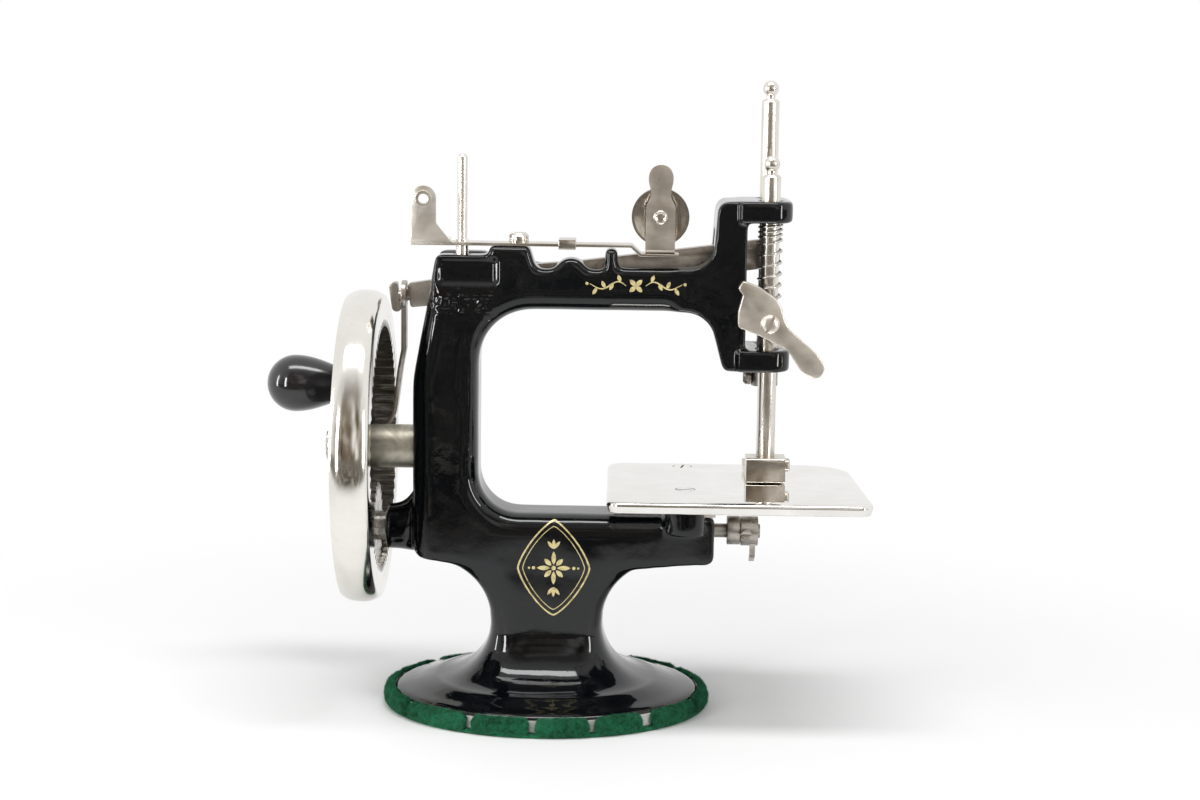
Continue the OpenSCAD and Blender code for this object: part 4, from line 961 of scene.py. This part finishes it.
# Angle of each slit in degrees, and its width
FELT_GAPS = ((-147, 0.5), (-116.6, 1.4), (-93.3, 1.5), (-72.1, 1.5), (-50.3, 3.2), (-22.1, 1.0), (6, 0.9),
             (33, 1.2), (60, 1.0), (86, 1.3), (112, 0.9), (138, 1.2), (163, 1.0), (187, 1.1))
# Distance out from the base, and height
TAB_SECTION = ((0.72, 0.55), (1.7, 0.25), (2.45, 0.45), (2.75, 1.4), (2.8, 2.6), (2.7, 3.7), (2.3, 4.55),
               (1.5, 5.0), (0.55, 5.05), (0.02, 4.8), (0.12, 4.5), (0.68, 4.3), (0.68, 2.6), (0.68, 1.5))


def felt_point(turn, out, z):
    """A point near the base's edge: out is the distance from the outline of the base."""
    c, s = math.cos(turn), math.sin(turn)
    normal = Vector((c / BASE_HALF_W, s / BASE_HALF_D)).normalized()
    return Vector((BASE_HALF_W * c + normal.x * out, BASE_HALF_D * s + normal.y * out, z))


def felt_tab(first, last, seed):
    """One folded-up tab: a soft roll with rounded ends."""
    across = 26
    middle = Vector((1.72, 2.45))
    rings = []
    for i in range(across + 1):
        t = i / across
        turn = math.radians(first + (last - first) * t)
        end = min(t, 1 - t) * across
        size = 1.0 - 0.55 * max(0.0, 1 - end / 2.2) ** 2
        ring = []
        for out, z in TAB_SECTION:
            sway = noise.noise(Vector((turn * 9, seed * 5.3, z * 0.5)))
            top = 0.35 * noise.noise(Vector((turn * 14, seed * 2.1, 8.0))) * step_up(z, 2.5, 4.6)
            spot = middle + (Vector((out, z)) - middle) * size
            ring.append(felt_point(turn, min(3.0, spot.x + 0.16 * sway), max(0.02, spot.y + top)))
        rings.append(ring)
    return joined_rings(rings)


def felt_pad():
    """Felt folded up round the base in tabs."""
    tabs = []
    for i, (gap, width) in enumerate(FELT_GAPS):
        following = FELT_GAPS[(i + 1) % len(FELT_GAPS)]
        stop = following[0] + (360 if following[0] <= gap else 0)
        pad = math.degrees(width / 2 / 40)
        other = math.degrees(following[1] / 2 / 40)
        tabs.append(felt_tab(gap + pad, stop - other, i))
    mesh = applied("felt_folded", mesh_of("felt_folded", *merged(tabs)),
                   ("SUBSURF", {"levels": 2, "render_levels": 2}))
    normals = [vertex.normal.copy() for vertex in mesh.vertices]
    for vertex, normal in zip(mesh.vertices, normals):
        spot = vertex.co / MM
        matted = 0.28 * noise.noise(spot * 0.7) + 0.16 * noise.noise(spot * 2.1)
        matted += 0.1 * noise.noise(spot * 4.3)
        vertex.co += normal * (matted - 0.05) * MM
        vertex.co.z = max(vertex.co.z, 0.00002)
    mesh.shade_smooth()
    made = add_piece("felt_folded", mesh, felt_green, "frame", "green_felt", "felt_pad")
    return made


def felt_floor():
    """The felt that the machine stands on, under the tray."""
    turns = [2 * math.pi * k / 180 for k in range(180)]

    def oval(share, z):
        return [(FLOOR_HALF_W * share * math.cos(t), FLOOR_HALF_D * share * math.sin(t), z) for t in turns]

    def edge(out, z):
        sway = 0.12 if out > 0 else 0
        return [felt_point(t, out + sway * noise.noise(Vector((t * 30, 1.0, z))), z) for t in turns]

    rings = [oval(share, 1.12) for share in (0.02, 0.5, 0.9)]
    rings += [edge(out, z) for out, z in ((-1.2, 1.15), (1.6, 1.1), (2.35, 0.75), (2.35, 0.3), (1.9, 0.0))]
    rings += [oval(share, 0) for share in (0.9, 0.5, 0.02)]
    mesh = mesh_of("felt_floor", *joined_rings(rings))
    made = add_piece("felt_floor", mesh, felt_green, "frame", "green_felt")
    return made


def draws(state):
    """Numbers from 0 to 1 that look random and are the same each run."""
    while True:
        state = (state * 1103515245 + 12345) % 2147483648
        yield state / 2147483648


def felt_fuzz(pad):
    """Loose fibres that stand out of the felt's rim, as thin curved blades."""
    points, faces = [], []
    draw = draws(7)
    for polygon in pad.data.polygons:
        centre = polygon.center / MM
        hidden = Vector((centre.x / BASE_HALF_W, centre.y / BASE_HALF_D)).length < 1.005
        if polygon.normal.z < -0.3 or centre.z < 0.35 or hidden:
            continue
        for _ in range(2):
            a = next(draw)
            b = next(draw)
            corner = pad.data.vertices[polygon.vertices[int(a * 3.99)]].co / MM
            root = centre.lerp(corner, b)
            lean = Vector((math.cos(40 * a), math.sin(40 * a), math.cos(25 * b)))
            grow = (polygon.normal * 0.6 + lean * 0.75).normalized()
            side = grow.cross(Vector((a - 0.5, b - 0.5, 0.3))).normalized() * 0.035
            length = 0.3 + 0.75 * b * a
            bend = grow + Vector((b - 0.5, a - 0.5, 0.5 - b)) * 0.9
            start = len(points)
            knee = root + grow * length * 0.5
            tip = knee + bend.normalized() * length * 0.5
            tip.z = max(tip.z, 0.05)
            points += [root - side, root + side, knee + side * 0.7, knee - side * 0.7, tip]
            faces += [(start, start + 1, start + 2, start + 3), (start + 3, start + 2, start + 4)]
    mesh = bpy.data.meshes.new("felt_fuzz")
    mesh.from_pydata([p * MM for p in points], [], faces)
    return add_piece("felt_fuzz", mesh, fuzz_green_painted_sheen, "frame", "green_felt")


felt_floor()
felt_fuzz(felt_pad())


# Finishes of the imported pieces

FINISHES = (
    (card, ("pad_core",)),
    (bar_nickel, ("spool_pin", "needle_bar", "presser_bar", "spring_collar")),
    (guide_nickel_painted_light, ("thread_guide",)),
    (strip_nickel, ("thread_strip", "strip_screw", "strip_clip", "wheel_washer", "feed_dog", "needle",
                    "foot_screw")),
    (disc_nickel_painted_shade, ("tension_discs", "presser_foot")),
    (stud_steel, ("wheel_stud",)),
    (dull_steel, ("looper_shaft", "crank_pin", "needle_bar_stud", "needle_clamp", "needle_clamp_screw")),
    (gear_steel, ("drive_pinion",)),
    (lever_steel, ("feed_cam", "looper", "looper_screw", "feed_guide", "feed_guide_screws", "feed_bar",
                   "needle_lever", "lever_pivot_screw", "link")),
)
NOT_EASED = ("pad_core", "drive_pinion", "needle")


def eased_shading():
    """Node group that shades round faces smooth and keeps edges sharper than 32 degrees."""
    group = bpy.data.node_groups.new("eased_shading", "GeometryNodeTree")
    for way in ("INPUT", "OUTPUT"):
        group.interface.new_socket("Geometry", in_out=way, socket_type="NodeSocketGeometry")
    kit = Nodes(group)
    given = kit.node("NodeGroupInput")
    plain = kit.node("GeometryNodeRemoveAttribute", {"Geometry": given.outputs[0]}, Name="custom_normal")
    round_faces = kit.node("GeometryNodeSetShadeSmooth", {"Geometry": plain.outputs["Geometry"]})
    round_faces.domain = "FACE"
    angle = kit.node("GeometryNodeInputMeshEdgeAngle")
    over = kit.node("FunctionNodeCompare", {0: angle.outputs["Unsigned Angle"]})
    over.operation = "GREATER_THAN"
    over.inputs[1].default_value = math.radians(32)
    kept = {"Geometry": round_faces.outputs["Geometry"], "Selection": over.outputs["Result"]}
    crisp = kit.node("GeometryNodeSetShadeSmooth", kept, Shade_Smooth=False)
    crisp.domain = "EDGE"
    kit.node("NodeGroupOutput", {0: crisp.outputs["Geometry"]})
    return group


def finish_node(name, material, shading):
    """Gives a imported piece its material, a small bevel and smooth shading."""
    node = nodes[name]
    node.data.materials.clear()
    node.data.materials.append(material)
    modify(node, ("WELD", {"merge_threshold": 1e-6}))
    if name not in NOT_EASED:
        modify(node, bevel(0.13, 2))
    modify(node, ("NODES", {"node_group": shading}))


smooth_group = eased_shading()
for finish, names in FINISHES:
    for node_name in names:
        finish_node(node_name, finish, smooth_group)


# Floor, light and camera

FLOOR_ROOM = ((0.42, (0.05, 0.044, 0.038)), (0.58, (0.28, 0.25, 0.215)), (0.72, (0.8, 0.77, 0.72)))
ROOM = ((0.34, (0.05, 0.045, 0.04)), (0.48, (0.22, 0.17, 0.12)), (0.58, (0.5, 0.47, 0.43)),
        (0.7, (0.95, 0.93, 0.9)))


def studio_floor():
    """Pale floor with the object's shadow, white further out; metal sees a dark room on its near part."""
    bpy.ops.mesh.primitive_plane_add(size=8)
    floor = bpy.context.object
    floor.name = "studio_floor"
    look = Look("studio_floor", Roughness=0.6, Specular_IOR_Level=0.25)
    pale = look.colours(look.noise(3, 2), (0.3, (0.93, 0.93, 0.93)), (0.7, (0.95, 0.95, 0.95)))
    look.feed("Base Color", pale)
    path = look.node("ShaderNodeLightPath").outputs
    patches = look.colours(look.noise(22, 3), *FLOOR_ROOM)
    room = look.mix(look.spread(look.along("Y"), -0.25, -0.15), patches, (0.95, 0.95, 0.95))
    colour = look.mix(path["Is Camera Ray"], room, (1, 1, 1))
    plain = look.node("ShaderNodeEmission", {"Color": colour}, Strength=1.0)
    reach = look.node("ShaderNodeVectorMath", {0: look.place})
    reach.operation = "LENGTH"
    mirrored = look.math("MAXIMUM", path["Is Glossy Ray"], path["Is Transmission Ray"])
    shown = look.math("MAXIMUM", path["Is Camera Ray"], mirrored)
    share = look.math("MULTIPLY", look.spread(reach.outputs["Value"], 0.07, 0.26), shown)
    blend = look.node("ShaderNodeMixShader", {0: share, 1: look.shader.outputs[0], 2: plain.outputs[0]})
    look.tree.links.new(blend.outputs[0], look.tree.nodes["Material Output"].inputs["Surface"])
    floor.data.materials.append(look.material)


def studio_world():
    """White all round, with the darker room on the viewer's side that polished metal shows."""
    world = bpy.data.worlds.new("studio")
    scene.world = world
    world.use_nodes = True
    world.node_tree.nodes.clear()
    sky = Nodes(world.node_tree, "Generated")
    patches = sky.colours(sky.noise(2.8, 2.0), *ROOM)
    around = sky.mix(sky.spread(sky.along("Y"), -0.85, -0.25), patches, (1, 1, 1))
    path = sky.node("ShaderNodeLightPath").outputs
    mirrored = sky.math("MAXIMUM", path["Is Glossy Ray"], path["Is Transmission Ray"])
    seen = sky.node("ShaderNodeBackground", {"Color": around}, Strength=0.95)
    fill = sky.node("ShaderNodeBackground", Color=(1, 1, 1, 1), Strength=0.5)
    white = sky.node("ShaderNodeBackground", Color=(1, 1, 1, 1), Strength=1.0)
    light = sky.node("ShaderNodeMixShader", {0: mirrored, 1: fill.outputs[0], 2: seen.outputs[0]})
    final = sky.node("ShaderNodeMixShader",
                     {0: path["Is Camera Ray"], 1: light.outputs[0], 2: white.outputs[0]})
    sky.node("ShaderNodeOutputWorld", {"Surface": final.outputs[0]})


def soft_light(name, place, aim, width, height, watts):
    """A rectangular lamp that the camera doesn't see."""
    lamp = bpy.data.lights.new(name, "AREA")
    lamp.shape = "RECTANGLE"
    lamp.size = width
    lamp.size_y = height
    lamp.energy = watts
    holder = linked(name, lamp)
    holder.location = place
    holder.rotation_euler = (Vector(aim) - Vector(place)).to_track_quat("-Z", "Y").to_euler()
    holder.visible_camera = False


def photo_camera():
    """Camera at the photograph's place: a little above, looking slightly down."""
    lens = bpy.data.cameras.new("camera")
    lens.sensor_fit = "HORIZONTAL"
    lens.sensor_width = 36
    lens.lens = 69
    holder = linked("camera", lens)
    turn = Matrix.Rotation(math.radians(0.548), 4, "Z")
    tilt = Matrix.Rotation(math.radians(90 - 8.65), 4, "X")
    roll = Matrix.Rotation(0.0132, 4, "Z")
    holder.matrix_world = Matrix.Translation((0.0196, -0.613, 0.177)) @ turn @ tilt @ roll
    scene.camera = holder


studio_floor()
studio_world()
soft_light("left", (-0.42, -0.48, 0.16), (0, 0, 0.1), 0.065, 0.42, 1.5)
soft_light("far_left", (-0.66, -0.16, 0.16), (0, 0, 0.1), 0.06, 0.42, 1.3)
soft_light("right", (0.5, -0.42, 0.16), (0, 0, 0.1), 0.06, 0.42, 1.1)
soft_light("top", (0.0, -0.2, 0.95), (0, 0, 0.08), 0.8, 0.18, 4.4)
photo_camera()
